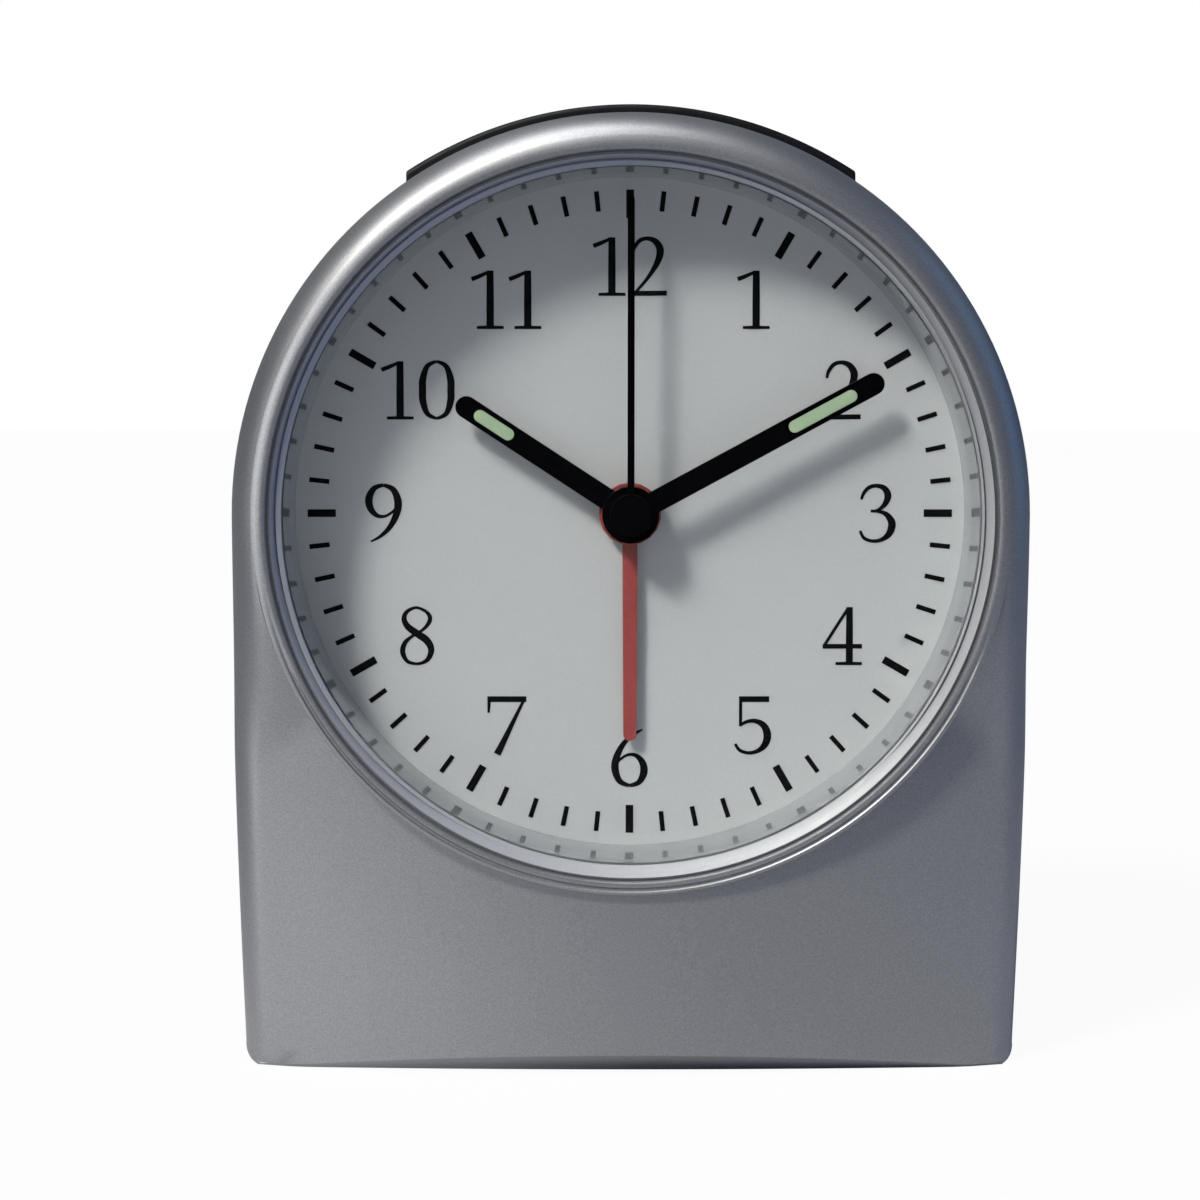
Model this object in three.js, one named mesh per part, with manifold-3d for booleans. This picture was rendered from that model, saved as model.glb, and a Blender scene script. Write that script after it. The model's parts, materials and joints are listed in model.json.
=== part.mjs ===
// Radio-controlled table alarm clock: arch-topped case, analogue dial, snooze bar, gear train, battery bay.
// Millimetres. X to the right, Y from the front to the back, Z up. The origin is the middle of the base.
import * as THREE from "three";
import { mergeVertices } from "three/addons/utils/BufferGeometryUtils.js";
import Module from "manifold-3d";

const wasm = await Module();
wasm.setup();

// Clearances
const FIT = 0.3; // between pieces that are put together
const RUN = 0.1; // round a turning shaft
const OVERLAP = 0.4; // how far joined features reach into each other

// Case
const CASE_WIDTH = 98;
const BASE_DRAW = 1.6; // how far each side draws in towards the base
const AXIS_HEIGHT = 68; // dial centre above the table
const TAPER_START = 45; // the sides draw in below this height
const TAPER_BEND = 30;
const CORNER_RADIUS = 2.8;
const MIN_CORNER = 0.4;
const BODY_DEPTH = 40; // lip of the window to the parting line
const COVER_DEPTH = 10;
const PARTING_GAP = 0.4;
const WALL = 2.2;
const REAR_RADIUS = 4; // rounding of the cover's back edge
const SPIGOT_LENGTH = 2.5; // rim of the cover that enters the body
const SPIGOT_WALL = 1.4;

// Front face
const LIP_PROUD = 1; // lip above the face below the dial
const BULGE_DIAL = 2.5; // how far the face falls back at the sides, at the dial
const BULGE_BASE = 6.5; // and at the base
const EDGE_WIDTH = 2.6; // rounding round the face
const EDGE_DEPTH = 4;
const FACE_RAMP = 5.5; // width over which the arch rim turns into the flat face
const BASE_EDGE = 0.4;
const UNDERCUT_HEIGHT = 2.4; // crescent under the front edge
const UNDERCUT_DEPTH = 1.8;
const UNDERCUT_END = 6.4; // from the side of the base

// Window, lens and dial
const RIM_WIDTH = 6.9; // window to the side of the case
const BEVEL_DEPTH = 1.8;
const BEVEL_WIDTH = 1.5;
const LIP_EDGE = 0.45; // drop from the lip's crest to the bevel
const CREST_WIDTH = 2.2; // window to the crest of the lip, then to its top edge and foot
const LIP_TOP_WIDTH = 3;
const LIP_TOP_DROP = 0.15;
const LIP_FOOT_WIDTH = 3.6;
const SEAT_WIDTH = 1.1; // ledge behind the bevel that holds the lens
const SLEEVE_WALL = 1.6;
const LENS_THICKNESS = 1.5;
const DIAL_DEPTH = 11; // lip to the dial's face
const DIAL_THICKNESS = 1;
const DIAL_RING_DRAFT = 0.7;

// Hands
const HAND_WIDTH = 2.7;
const HAND_THICKNESS = 0.5;
const HAND_PITCH = 1.4; // from one hand to the next
const HAND_DROP = 0.3; // blade behind the front of its hub
const HUB_HEIGHT = 1.1;
const HUB_RADIUS = 3.5;
const HOUR_LENGTH = 25.4;
const MINUTE_SHORT = 7.1; // tip to the edge of the window
const SECOND_SHORT = 3.3;
const SECOND_WIDTH = 0.85;
const SECOND_HUB_RADIUS = 2.6;
const ALARM_LENGTH = 28.2;
const ALARM_WIDTH = 1.9;
const ALARM_TIP_WIDTH = 1.6;
const ALARM_HUB_RADIUS = 3.85;
const LUME_WIDTH = 1.5;
const LUME_THICKNESS = 0.25;
const HOUR_LUME = [17.2, 22.8];
const MINUTE_LUME = [22, 31.3];
const HOUR_ANGLE = -56.8; // degrees clockwise from twelve
const MINUTE_ANGLE = 61.6;
const ALARM_ANGLE = 180;

// Gear train
const MODULE = 0.5;
const ADDENDUM = 0.55;
const DEDENDUM = 1.25;
const TIP_HALF = 0.11; // half a tooth's width at its tip, in tooth pitches
const WHEEL_THICKNESS = 0.8;
const LAYER_GAP = 0.5;
const PINION_REACH = 0.2; // pinions stand this far past the wheel that they drive
const ARBOR_RADIUS = 0.45;
const PIPE_WALL = 0.5;
const BUSH_WALL = 0.8;
const STUD_RADIUS = 0.6;
const HOUR_TEETH = 32;
const MOTION_PINION_TEETH = 8;
const MOTION_TEETH = 30;
const CANNON_TEETH = 10;
const MINUTE_TEETH = 32;
const MINUTE_DRIVE_PINION_TEETH = 8;
const MINUTE_DRIVE_TEETH = 24;
const MINUTE_ROTOR_TEETH = 8;
const SECONDS_TEETH = 36;
const SECONDS_DRIVE_PINION_TEETH = 6;
const SECONDS_DRIVE_TEETH = 30;
const SECONDS_ROTOR_TEETH = 6;
const ALARM_TEETH = 32;
const STEM_TEETH = 16;
const MOTION_DIRECTION = 110; // degrees anticlockwise from the right, seen from the front
const MINUTE_DRIVE_DIRECTION = 0;
const MINUTE_ROTOR_DIRECTION = -60;
const SECONDS_DRIVE_DIRECTION = 180;
const SECONDS_ROTOR_DIRECTION = 240;
const STEM_DIRECTION = 262;

// Movement
const MOVEMENT_GAP = 1; // to the upper screw posts
const MOVEMENT_CORNER = 4;
const MOVEMENT_WALL = 1.5;
const PLATE_THICKNESS = 1.5;
const REAR_PLATE_THICKNESS = 1.2;
const REAR_PLATE_GAP = 1.1;
const BOARD_INSET = 3; // side of the movement to the board
const BOARD_THICKNESS = 1.2;
const EAR_INSET = 7.5; // from the side of the case
const EAR_RADIUS = 3;
const MAGNET_RADIUS = 2.6;
const MAGNET_LENGTH = 2.2;
const STATOR_THICKNESS = 1.2;
const STATOR_HALF_WIDTH = 4.5;
const STATOR_TOP = 4;
const STATOR_BOTTOM = 12;
const CORE_HEIGHT = 2.5;
const COIL_WALL = 1.2;
const COIL_LENGTH = 5;
const PILLAR_RADIUS = 0.7;
const ANTENNA_RADIUS = 4;
const ANTENNA_LENGTH = 48;
const ANTENNA_COIL_WALL = 1.3;
const ANTENNA_COIL_LENGTH = 20;
const ANTENNA_Y = 18;
const CHEEK_X = 20;
const CHEEK_WIDTH = 2.5;
const CHIP_SIZE = 8;
const CHIP_HEIGHT = 1.6;
const CHIP_X = 8;
const CHIP_Z = -12;
const CRYSTAL_RADIUS = 1.5;
const CRYSTAL_LENGTH = 8;
const CRYSTAL_X = 8;
const CRYSTAL_Z = -20;

// Back
const KNOB_RADIUS = 7;
const KNOB_LENGTH = 3.6;
const KNOB_RIDGES = 24;
const KNOB_RIDGE_DEPTH = 0.45;
const STEM_RADIUS = 1;
const BUTTON_RADIUS = 2.5;
const BUTTON_PROUD = 1.2;
const BUTTON_TRAVEL = 1;
const BUTTON_FLANGE = 0.9;
const BUTTON_X = 18;
const SET_BUTTON_HEIGHT = 20; // above the dial centre
const WAVE_BUTTON_HEIGHT = 11;
const RESET_BUTTON_HEIGHT = 2;
const KEY_SIZE = 5;
const KEY_HEIGHT = 2.6;
const SLIDER_X = -18;
const SLIDER_Z = 14;
const SLIDER_WIDTH = 5;
const SLIDER_HEIGHT = 3.5;
const SLIDER_TRAVEL = 4;
const SLIDER_FLANGE = 1.5;
const PEG_RADIUS = 0.8;
const BUZZER_RADIUS = 9;
const BUZZER_THICKNESS = 2.5;
const BUZZER_Z = 30;
const SOUND_SLOTS = 5;
const SOUND_SLOT_WIDTH = 1.4;
const SOUND_SLOT_LENGTH = 9;
const SOUND_SLOT_PITCH = 3;
const SCREW_SHANK = 1.3;
const SCREW_HEAD = 2.8;
const SCREW_HEAD_HEIGHT = 1.8;
const SCREW_LENGTH = 18;
const SCREW_SINK = 3;
const POST_RADIUS = 3.2;
const RIB_THICKNESS = 1.6;
const EAR_SCREW_SHANK = 0.9;
const EAR_SCREW_HEAD = 2.2;
const EAR_SCREW_LENGTH = 6;
const UPPER_SCREW_INSET = 8.5; // from the arch
const UPPER_SCREW_DIRECTION = 35;
const LOWER_SCREW_INSET = 7.9; // from the side of the base
const LOWER_SCREW_HEIGHT = 8;
const UPPER_POST_GAP = 1; // behind the dial

// Battery bay
const CELL_RADIUS = 7.25;
const CELL_LENGTH = 50.5;
const CELL_NUB_RADIUS = 2.75;
const CELL_NUB_LENGTH = 1.5;
const CONTACT_SPACE = 7.3; // room for the leaf contact
const CONTACT_THICKNESS = 0.4;
const CONTACT_WIDTH = 8;
const BAY_SPARE = 1.15; // above and below the cell
const BAY_WALL = 3;
const BAY_HEIGHT = 22.4; // cell's axis above the table
const DOOR_THICKNESS = 2;
const DOOR_LEDGE = 1.7;
const TAB_X = 15;
const TAB_WIDTH = 6;
const TAB_LENGTH = 1.4;
const TAB_THICKNESS = 1;
const NOTCH_RADIUS = 6; // finger notch above the door
const NOTCH_DEPTH = 1.2;
const GROOVES = 4; // grip on the door
const GROOVE_WIDTH = 0.8;
const GROOVE_DEPTH = 0.5;
const GROOVE_LENGTH = 14;
const GROOVE_PITCH = 1.8;

// Snooze bar
const SNOOZE_HALF_WIDTH = 27.4;
const SNOOZE_PROUD = 1.8;
const SNOOZE_FRONT = 8;
const SNOOZE_DEPTH = 16;
const SNOOZE_TRAVEL = 1.2;
const SNOOZE_EDGE = 0.5;
const HOOK_REACH = 1.2;
const HOOK_THICKNESS = 1.5;
const HOOK_WIDTH = 2;
const HOOK_DEPTH = 6;
const SNOOZE_STEM_RADIUS = 1.4;
const SWITCH_SIZE = 6;
const SWITCH_HEIGHT = 4;

// Fineness
const BASE_STEPS = 6;
const CORNER_STEPS = 2;
const SIDE_STEPS = 4;
const UPRIGHT_STEPS = 3;
const ARCH_STEPS = 14;
const FACE_STEPS = 2;
const EDGE_STEPS = 3;
const ROUND = 18;
const SMALL_ROUND = 12;

// Sizes that follow from those above
const ARCH_RADIUS = CASE_WIDTH / 2;
const BASE_HALF_WIDTH = ARCH_RADIUS - BASE_DRAW;
const UNDERCUT_HALF_WIDTH = BASE_HALF_WIDTH - UNDERCUT_END;
const WINDOW_RADIUS = ARCH_RADIUS - RIM_WIDTH;
const CREST_RADIUS = WINDOW_RADIUS + CREST_WIDTH;
const LIP_TOP_RADIUS = WINDOW_RADIUS + LIP_TOP_WIDTH;
const LIP_FOOT_RADIUS = WINDOW_RADIUS + LIP_FOOT_WIDTH;
const MINUTE_LENGTH = WINDOW_RADIUS - MINUTE_SHORT;
const SECOND_LENGTH = WINDOW_RADIUS - SECOND_SHORT;
const UPPER_POST_REACH = ARCH_RADIUS - UPPER_SCREW_INSET;
const UPPER_POST_X = UPPER_POST_REACH * Math.cos(THREE.MathUtils.degToRad(UPPER_SCREW_DIRECTION));
const MOVEMENT_SIZE = 2 * (UPPER_POST_X - POST_RADIUS - MOVEMENT_GAP);
const EAR_Z = EAR_RADIUS - MOVEMENT_SIZE / 2; // from the dial centre
const BOARD_SIZE = MOVEMENT_SIZE - 2 * BOARD_INSET;
const EAR_X = ARCH_RADIUS - EAR_INSET;
const BACK = BODY_DEPTH + COVER_DEPTH;
const OVERALL_DEPTH = BACK + FIT + KNOB_LENGTH;
const LENS_RADIUS = WINDOW_RADIUS + SEAT_WIDTH;
const SLEEVE_INNER = LENS_RADIUS + FIT;
const SLEEVE_OUTER = SLEEVE_INNER + SLEEVE_WALL;
const LENS_BACK = BEVEL_DEPTH + LENS_THICKNESS;
const DIAL_BACK = DIAL_DEPTH + DIAL_THICKNESS;
const PLATE_BACK = DIAL_BACK + PLATE_THICKNESS;
const COVER_INSIDE = BACK - WALL;
const EAR_SCREW_END = PLATE_BACK - EAR_SCREW_LENGTH;
const BUTTON_Z = {
  set_button: SET_BUTTON_HEIGHT,
  wave_button: WAVE_BUTTON_HEIGHT,
  reset_button: RESET_BUTTON_HEIGHT,
};

// Vertical place of a point given from the dial centre.
const up = (z) => AXIS_HEIGHT + z;
const radians = THREE.MathUtils.degToRad;
const mix = THREE.MathUtils.lerp;

// Solids

function solidOf(geometry) {
  const bare = geometry.clone();
  bare.deleteAttribute("normal");
  bare.deleteAttribute("uv");
  const merged = mergeVertices(bare, 1e-4);
  return new wasm.Manifold(
    new wasm.Mesh({
      numProp: 3,
      vertProperties: merged.attributes.position.array,
      triVerts: new Uint32Array(merged.index.array),
    }),
  );
}

function geometryOf(solid) {
  const surface = solid.getMesh();
  const geometry = new THREE.BufferGeometry();
  geometry.setAttribute("position", new THREE.BufferAttribute(surface.vertProperties, 3));
  geometry.setIndex(new THREE.BufferAttribute(surface.triVerts, 1));
  return geometry;
}

function join(...geometries) {
  return geometryOf(geometries.map(solidOf).reduce((whole, next) => whole.add(next)));
}

function cut(geometry, ...tools) {
  return geometryOf(tools.map(solidOf).reduce((whole, tool) => whole.subtract(tool), solidOf(geometry)));
}

// Turns a closed surface so that its faces point out.
function facingOut(geometry) {
  const index = geometry.index.array;
  const position = geometry.attributes.position;
  const [a, b, c] = [new THREE.Vector3(), new THREE.Vector3(), new THREE.Vector3()];
  let volume = 0;
  for (let i = 0; i < index.length; i += 3) {
    a.fromBufferAttribute(position, index[i]);
    b.fromBufferAttribute(position, index[i + 1]);
    c.fromBufferAttribute(position, index[i + 2]);
    volume += a.dot(b.cross(c));
  }
  if (volume < 0) {
    geometry.setIndex([...index].reverse());
  }
  return geometry;
}

// A flat shape drawn as seen from the front, as thick as the way from one depth to the other.
function plate(shape, front, back, curveSegments = SMALL_ROUND) {
  const settings = { depth: back - front, bevelEnabled: false, curveSegments };
  const geometry = new THREE.ExtrudeGeometry(shape, settings);
  return geometry.rotateX(Math.PI / 2).translate(0, back, 0);
}

// A shape drawn as seen from the right (depth, height), as wide as the way from left to right.
function slab(shape, left, right) {
  const geometry = new THREE.ExtrudeGeometry(shape, { depth: right - left, bevelEnabled: false });
  const turn = new THREE.Matrix4().makeBasis(
    new THREE.Vector3(0, 1, 0),
    new THREE.Vector3(0, 0, 1),
    new THREE.Vector3(1, 0, 0),
  );
  return geometry.applyMatrix4(turn).translate(left, 0, 0);
}

function box(left, right, front, back, bottom, top) {
  const geometry = new THREE.BoxGeometry(right - left, back - front, top - bottom);
  return geometry.translate((left + right) / 2, (front + back) / 2, (bottom + top) / 2);
}

// A round bar from front to back.
function rod(radius, front, back, x = 0, z = AXIS_HEIGHT, sides = SMALL_ROUND) {
  const geometry = new THREE.CylinderGeometry(radius, radius, back - front, sides);
  return geometry.translate(x, (front + back) / 2, z);
}

// A body turned about the depth axis; its profile is a closed list of [radius, depth].
function turned(profile, x = 0, z = AXIS_HEIGHT, sides = ROUND) {
  const points = [...profile, profile[0]].map(([radius, depth]) => new THREE.Vector2(radius, depth));
  return facingOut(new THREE.LatheGeometry(points, sides)).translate(x, 0, z);
}

function pipe(outer, inner, front, back, x = 0, z = AXIS_HEIGHT, sides = SMALL_ROUND) {
  const profile = [
    [inner, front],
    [outer, front],
    [outer, back],
    [inner, back],
  ];
  return turned(profile, x, z, sides);
}

function rectangle(left, right, bottom, top) {
  return new THREE.Shape([
    new THREE.Vector2(left, bottom),
    new THREE.Vector2(right, bottom),
    new THREE.Vector2(right, top),
    new THREE.Vector2(left, top),
  ]);
}

function roundedSquare(size, corner, x, z) {
  const half = size / 2;
  const inner = half - corner;
  const shape = new THREE.Shape();
  shape.absarc(x + inner, z + inner, corner, 0, Math.PI / 2);
  shape.absarc(x - inner, z + inner, corner, Math.PI / 2, Math.PI);
  shape.absarc(x - inner, z - inner, corner, Math.PI, 1.5 * Math.PI);
  shape.absarc(x + inner, z - inner, corner, 1.5 * Math.PI, 2 * Math.PI);
  return shape;
}

function hole(radius, x, z) {
  const path = new THREE.Path();
  path.absarc(x, z, radius, 0, 2 * Math.PI);
  return path;
}

// Case outline

// Right half of the outline, from the middle of the base to the top of the arch. It is drawn in by `inset`
// at the sides and the arch and raised by `lift` at the base, always with the same number of points.
function rightHalf(inset, lift, rise) {
  const radius = ARCH_RADIUS - inset;
  const foot = BASE_HALF_WIDTH - inset;
  const corner = Math.max(CORNER_RADIUS - Math.max(inset, lift), MIN_CORNER);
  const points = [];
  for (let k = 0; k <= BASE_STEPS; k += 1) {
    const x = ((foot - corner) * k) / BASE_STEPS;
    points.push({ x, z: lift + rise(x), base: 1 });
  }
  for (let k = 1; k <= CORNER_STEPS; k += 1) {
    const turn = ((k / CORNER_STEPS) * Math.PI) / 2;
    points.push({
      x: foot - corner + corner * Math.sin(turn),
      z: lift + corner - corner * Math.cos(turn),
      base: 1 - k / CORNER_STEPS,
    });
  }
  const side = new THREE.QuadraticBezierCurve(
    new THREE.Vector2(foot, lift + corner),
    new THREE.Vector2(radius, TAPER_BEND),
    new THREE.Vector2(radius, TAPER_START),
  );
  for (let k = 1; k <= SIDE_STEPS; k += 1) {
    const point = side.getPoint(k / SIDE_STEPS);
    points.push({ x: point.x, z: point.y, base: 0 });
  }
  for (let k = 1; k <= UPRIGHT_STEPS; k += 1) {
    points.push({ x: radius, z: mix(TAPER_START, AXIS_HEIGHT, k / UPRIGHT_STEPS), base: 0 });
  }
  for (let k = 1; k <= ARCH_STEPS; k += 1) {
    const turn = ((k / ARCH_STEPS) * Math.PI) / 2;
    points.push({ x: radius * Math.cos(turn), z: up(radius * Math.sin(turn)), base: 0 });
  }
  points[points.length - 1].x = 0;
  return points;
}

// The whole outline: up the right side and down the left.
function outline(inset, lift = inset, rise = () => 0) {
  const right = rightHalf(inset, lift, rise);
  const left = right.slice(1, -1).reverse();
  return [...right, ...left.map((point) => ({ ...point, x: -point.x }))];
}

// Points of a ring: one depth for each outline point.
const ringOf = (points, depth) => points.map((p, i) => new THREE.Vector3(p.x, depth(p, i), p.z));

// A surface through rings of equal length. With poles it closes at two points, otherwise the last ring
// joins the first.
function loft(rings, poles) {
  const count = rings[0].length;
  const positions = rings.flat().flatMap((p) => [p.x, p.y, p.z]);
  const faces = [];
  const bands = poles ? rings.length - 1 : rings.length;
  for (let r = 0; r < bands; r += 1) {
    const near = r * count;
    const far = ((r + 1) % rings.length) * count;
    for (let i = 0; i < count; i += 1) {
      const next = (i + 1) % count;
      faces.push(near + i, near + next, far + next, near + i, far + next, far + i);
    }
  }
  if (poles) {
    const first = rings.length * count;
    const last = (rings.length - 1) * count;
    poles.forEach((p) => positions.push(p.x, p.y, p.z));
    for (let i = 0; i < count; i += 1) {
      const next = (i + 1) % count;
      faces.push(first, next, i);
      faces.push(first + 1, last + i, last + next);
    }
  }
  const geometry = new THREE.BufferGeometry();
  geometry.setAttribute("position", new THREE.Float32BufferAttribute(positions, 3));
  geometry.setIndex(faces);
  return facingOut(geometry);
}

// Front case

// How far the front face lies behind the lip at a point of the face.
function faceDepth(x, z) {
  const below = THREE.MathUtils.clamp(1 - z / AXIS_HEIGHT, 0, 1);
  const bulge = mix(BULGE_DIAL, BULGE_BASE, below);
  return LIP_PROUD + bulge * (x / ARCH_RADIUS) ** 2;
}

// Depth of the rounded rim, which falls from the crest to the side wall at a distance `reach` from the axis.
function rimDepth(x, z, reach) {
  const width = reach - CREST_RADIUS;
  const share = THREE.MathUtils.clamp((Math.hypot(x, z - AXIS_HEIGHT) - CREST_RADIUS) / width, 0, 1);
  return (faceDepth(x, z) + EDGE_DEPTH) * (1 - Math.sqrt(1 - share ** 2));
}

const undercut = (x) => Math.max(0, 1 - (x / UNDERCUT_HALF_WIDTH) ** 2);

function frontCaseShell() {
  const outer = outline(0);
  const reach = outer.map((p) => Math.hypot(p.x, p.z - AXIS_HEIGHT));
  // 0 on the arch, where the rim is one rounding, and 1 where the flat face lies between lip and edge.
  const flat = reach.map((r) => THREE.MathUtils.smoothstep(r, ARCH_RADIUS, ARCH_RADIUS + FACE_RAMP));
  const circle = (radius) =>
    outer.map((p, i) => {
      const share = radius / reach[i];
      return { x: p.x * share, z: up((p.z - AXIS_HEIGHT) * share), base: p.base };
    });
  const skin = (p, i) => mix(rimDepth(p.x, p.z, reach[i]), faceDepth(p.x, p.z), flat[i]);
  const faceEnd = outline(EDGE_WIDTH, BASE_EDGE, (x) => UNDERCUT_HEIGHT * undercut(x));
  const foot = circle(LIP_FOOT_RADIUS);
  const rings = [
    ringOf(circle(WINDOW_RADIUS), () => BEVEL_DEPTH),
    ringOf(circle(WINDOW_RADIUS + BEVEL_WIDTH), () => LIP_EDGE),
    ringOf(circle(CREST_RADIUS), () => 0),
    ringOf(circle(LIP_TOP_RADIUS), () => LIP_TOP_DROP),
  ];
  for (let k = 0; k <= FACE_STEPS; k += 1) {
    const share = k / (FACE_STEPS + 1);
    const points = foot.map((p, i) => {
      return { x: mix(p.x, faceEnd[i].x, share), z: mix(p.z, faceEnd[i].z, share) };
    });
    rings.push(ringOf(points, (p, i) => Math.max(skin(p, i), LIP_TOP_DROP)));
  }
  for (let k = 0; k <= EDGE_STEPS; k += 1) {
    const share = k / EDGE_STEPS;
    const turn = (share * Math.PI) / 2;
    const rise = (x) => UNDERCUT_HEIGHT * undercut(x) * (1 - share);
    const points = outline(EDGE_WIDTH * (1 - Math.sin(turn)), BASE_EDGE * (1 - share), rise);
    const depth = (p, i) => {
      const start = faceEnd[i];
      const side = EDGE_DEPTH * (1 - Math.cos(turn));
      const under = (BASE_EDGE + UNDERCUT_DEPTH * undercut(p.x)) * share;
      const face = faceDepth(start.x, start.z) + mix(side, under, p.base);
      return mix(rimDepth(p.x, p.z, reach[i]), face, flat[i]);
    };
    rings.push(ringOf(points, depth));
  }
  const inside = outline(WALL);
  const innerFace = (p, i) => mix(faceDepth(p.x, p.z) + EDGE_DEPTH, faceDepth(p.x, p.z) + WALL, flat[i]);
  const sleeve = circle(SLEEVE_OUTER);
  const halfway = inside.map((p, i) => ({ x: (p.x + sleeve[i].x) / 2, z: (p.z + sleeve[i].z) / 2 }));
  rings.push(
    ringOf(outer, () => BODY_DEPTH),
    ringOf(inside, () => BODY_DEPTH),
    ringOf(inside, innerFace),
    ringOf(halfway, innerFace),
    ringOf(sleeve, innerFace),
    ringOf(sleeve, () => DIAL_BACK),
    ringOf(circle(SLEEVE_INNER), () => DIAL_BACK),
    ringOf(circle(SLEEVE_INNER), () => BEVEL_DEPTH),
  );
  return loft(rings);
}

const mirrored = [-1, 1];
const upperPosts = mirrored.map((side) => {
  const z = UPPER_POST_REACH * Math.sin(radians(UPPER_SCREW_DIRECTION));
  return [side * UPPER_POST_X, up(z), DIAL_BACK + UPPER_POST_GAP];
});
const lowerPosts = mirrored.map((side) => {
  const [x, z] = [side * (BASE_HALF_WIDTH - LOWER_SCREW_INSET), LOWER_SCREW_HEIGHT];
  return [x, z, faceDepth(x, z) + WALL - OVERLAP];
});
const screwPosts = [...upperPosts, ...lowerPosts];
const postEnd = BODY_DEPTH - SPIGOT_LENGTH - FIT;
const screwSeat = BACK - SCREW_SINK;

function frontCase() {
  const posts = screwPosts.flatMap(([x, z, front]) => {
    const wallX = Math.sign(x) * (insideWallX(z) + OVERLAP);
    const [low, high] = [z - RIB_THICKNESS / 2, z + RIB_THICKNESS / 2];
    const rib = box(Math.min(x, wallX), Math.max(x, wallX), front, postEnd - FIT, low, high);
    return [rod(POST_RADIUS, front, postEnd, x, z), rib];
  });
  const earPosts = mirrored.map((side) => {
    const [x, z] = [side * EAR_X, up(EAR_Z)];
    return rod(EAR_RADIUS, faceDepth(x, z) + WALL - OVERLAP, DIAL_BACK, x, z);
  });
  const holeEnd = screwSeat - SCREW_LENGTH - FIT;
  const screwHoles = screwPosts.map(([x, z]) => rod(SCREW_SHANK + RUN, holeEnd, BODY_DEPTH, x, z));
  const earHoles = mirrored.map((side) => {
    return rod(EAR_SCREW_SHANK + RUN, EAR_SCREW_END - FIT, DIAL_BACK + OVERLAP, side * EAR_X, up(EAR_Z));
  });
  const slotHalf = SNOOZE_HALF_WIDTH + FIT;
  const slotFront = SNOOZE_FRONT - FIT;
  const slotBack = SNOOZE_FRONT + SNOOZE_DEPTH + FIT;
  const slotBottom = up(Math.sqrt(SLEEVE_OUTER ** 2 - slotHalf ** 2) - FIT);
  const slot = cut(
    box(-slotHalf, slotHalf, slotFront, slotBack, slotBottom, up(ARCH_RADIUS + SNOOZE_PROUD)),
    rod(SLEEVE_OUTER + RUN, slotFront - FIT, slotBack + FIT, 0, AXIS_HEIGHT, 4 * ARCH_STEPS),
  );
  return cut(join(frontCaseShell(), ...posts, ...earPosts), slot, ...screwHoles, ...earHoles);
}

// Half the inside width of the case at a height.
function insideWallX(z) {
  const inside = rightHalf(WALL, WALL, () => 0);
  const upper = inside.findIndex((p, i) => i > BASE_STEPS + CORNER_STEPS && p.z >= z);
  const [a, b] = [inside[upper - 1], inside[upper]];
  return mix(a.x, b.x, (z - a.z) / (b.z - a.z));
}

// Back cover

const bayHalfLength = (CELL_LENGTH + CONTACT_SPACE + CONTACT_THICKNESS + 2 * FIT) / 2;
const bayBottom = BAY_HEIGHT - CELL_RADIUS - BAY_SPARE;
const bayTop = BAY_HEIGHT + CELL_RADIUS + BAY_SPARE;
const doorInside = BACK - DOOR_THICKNESS;
const bayFloor = doorInside - BAY_SPARE - 2 * CELL_RADIUS - FIT;
const cellY = bayFloor + FIT + CELL_RADIUS;
const recess = {
  left: -bayHalfLength - DOOR_LEDGE,
  right: bayHalfLength + DOOR_LEDGE,
  bottom: bayBottom - DOOR_LEDGE,
  top: bayTop + DOOR_LEDGE,
};

function coverShell() {
  const edge = [];
  for (let k = 0; k <= EDGE_STEPS; k += 1) {
    const turn = ((k / EDGE_STEPS) * Math.PI) / 2;
    const inset = REAR_RADIUS * (1 - Math.sin(turn));
    edge.push(ringOf(outline(inset), () => BACK - REAR_RADIUS * (1 - Math.cos(turn))));
  }
  const rim = BODY_DEPTH + PARTING_GAP;
  const spigot = outline(WALL + FIT);
  const inner = outline(WALL + FIT + SPIGOT_WALL);
  const rings = [
    ...edge,
    ringOf(outline(0), () => rim),
    ringOf(spigot, () => rim),
    ringOf(spigot, () => BODY_DEPTH - SPIGOT_LENGTH),
    ringOf(inner, () => BODY_DEPTH - SPIGOT_LENGTH),
    ringOf(inner, () => COVER_INSIDE),
  ];
  return loft(
    rings,
    [BACK, COVER_INSIDE].map((depth) => new THREE.Vector3(0, depth, AXIS_HEIGHT)),
  );
}

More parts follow.
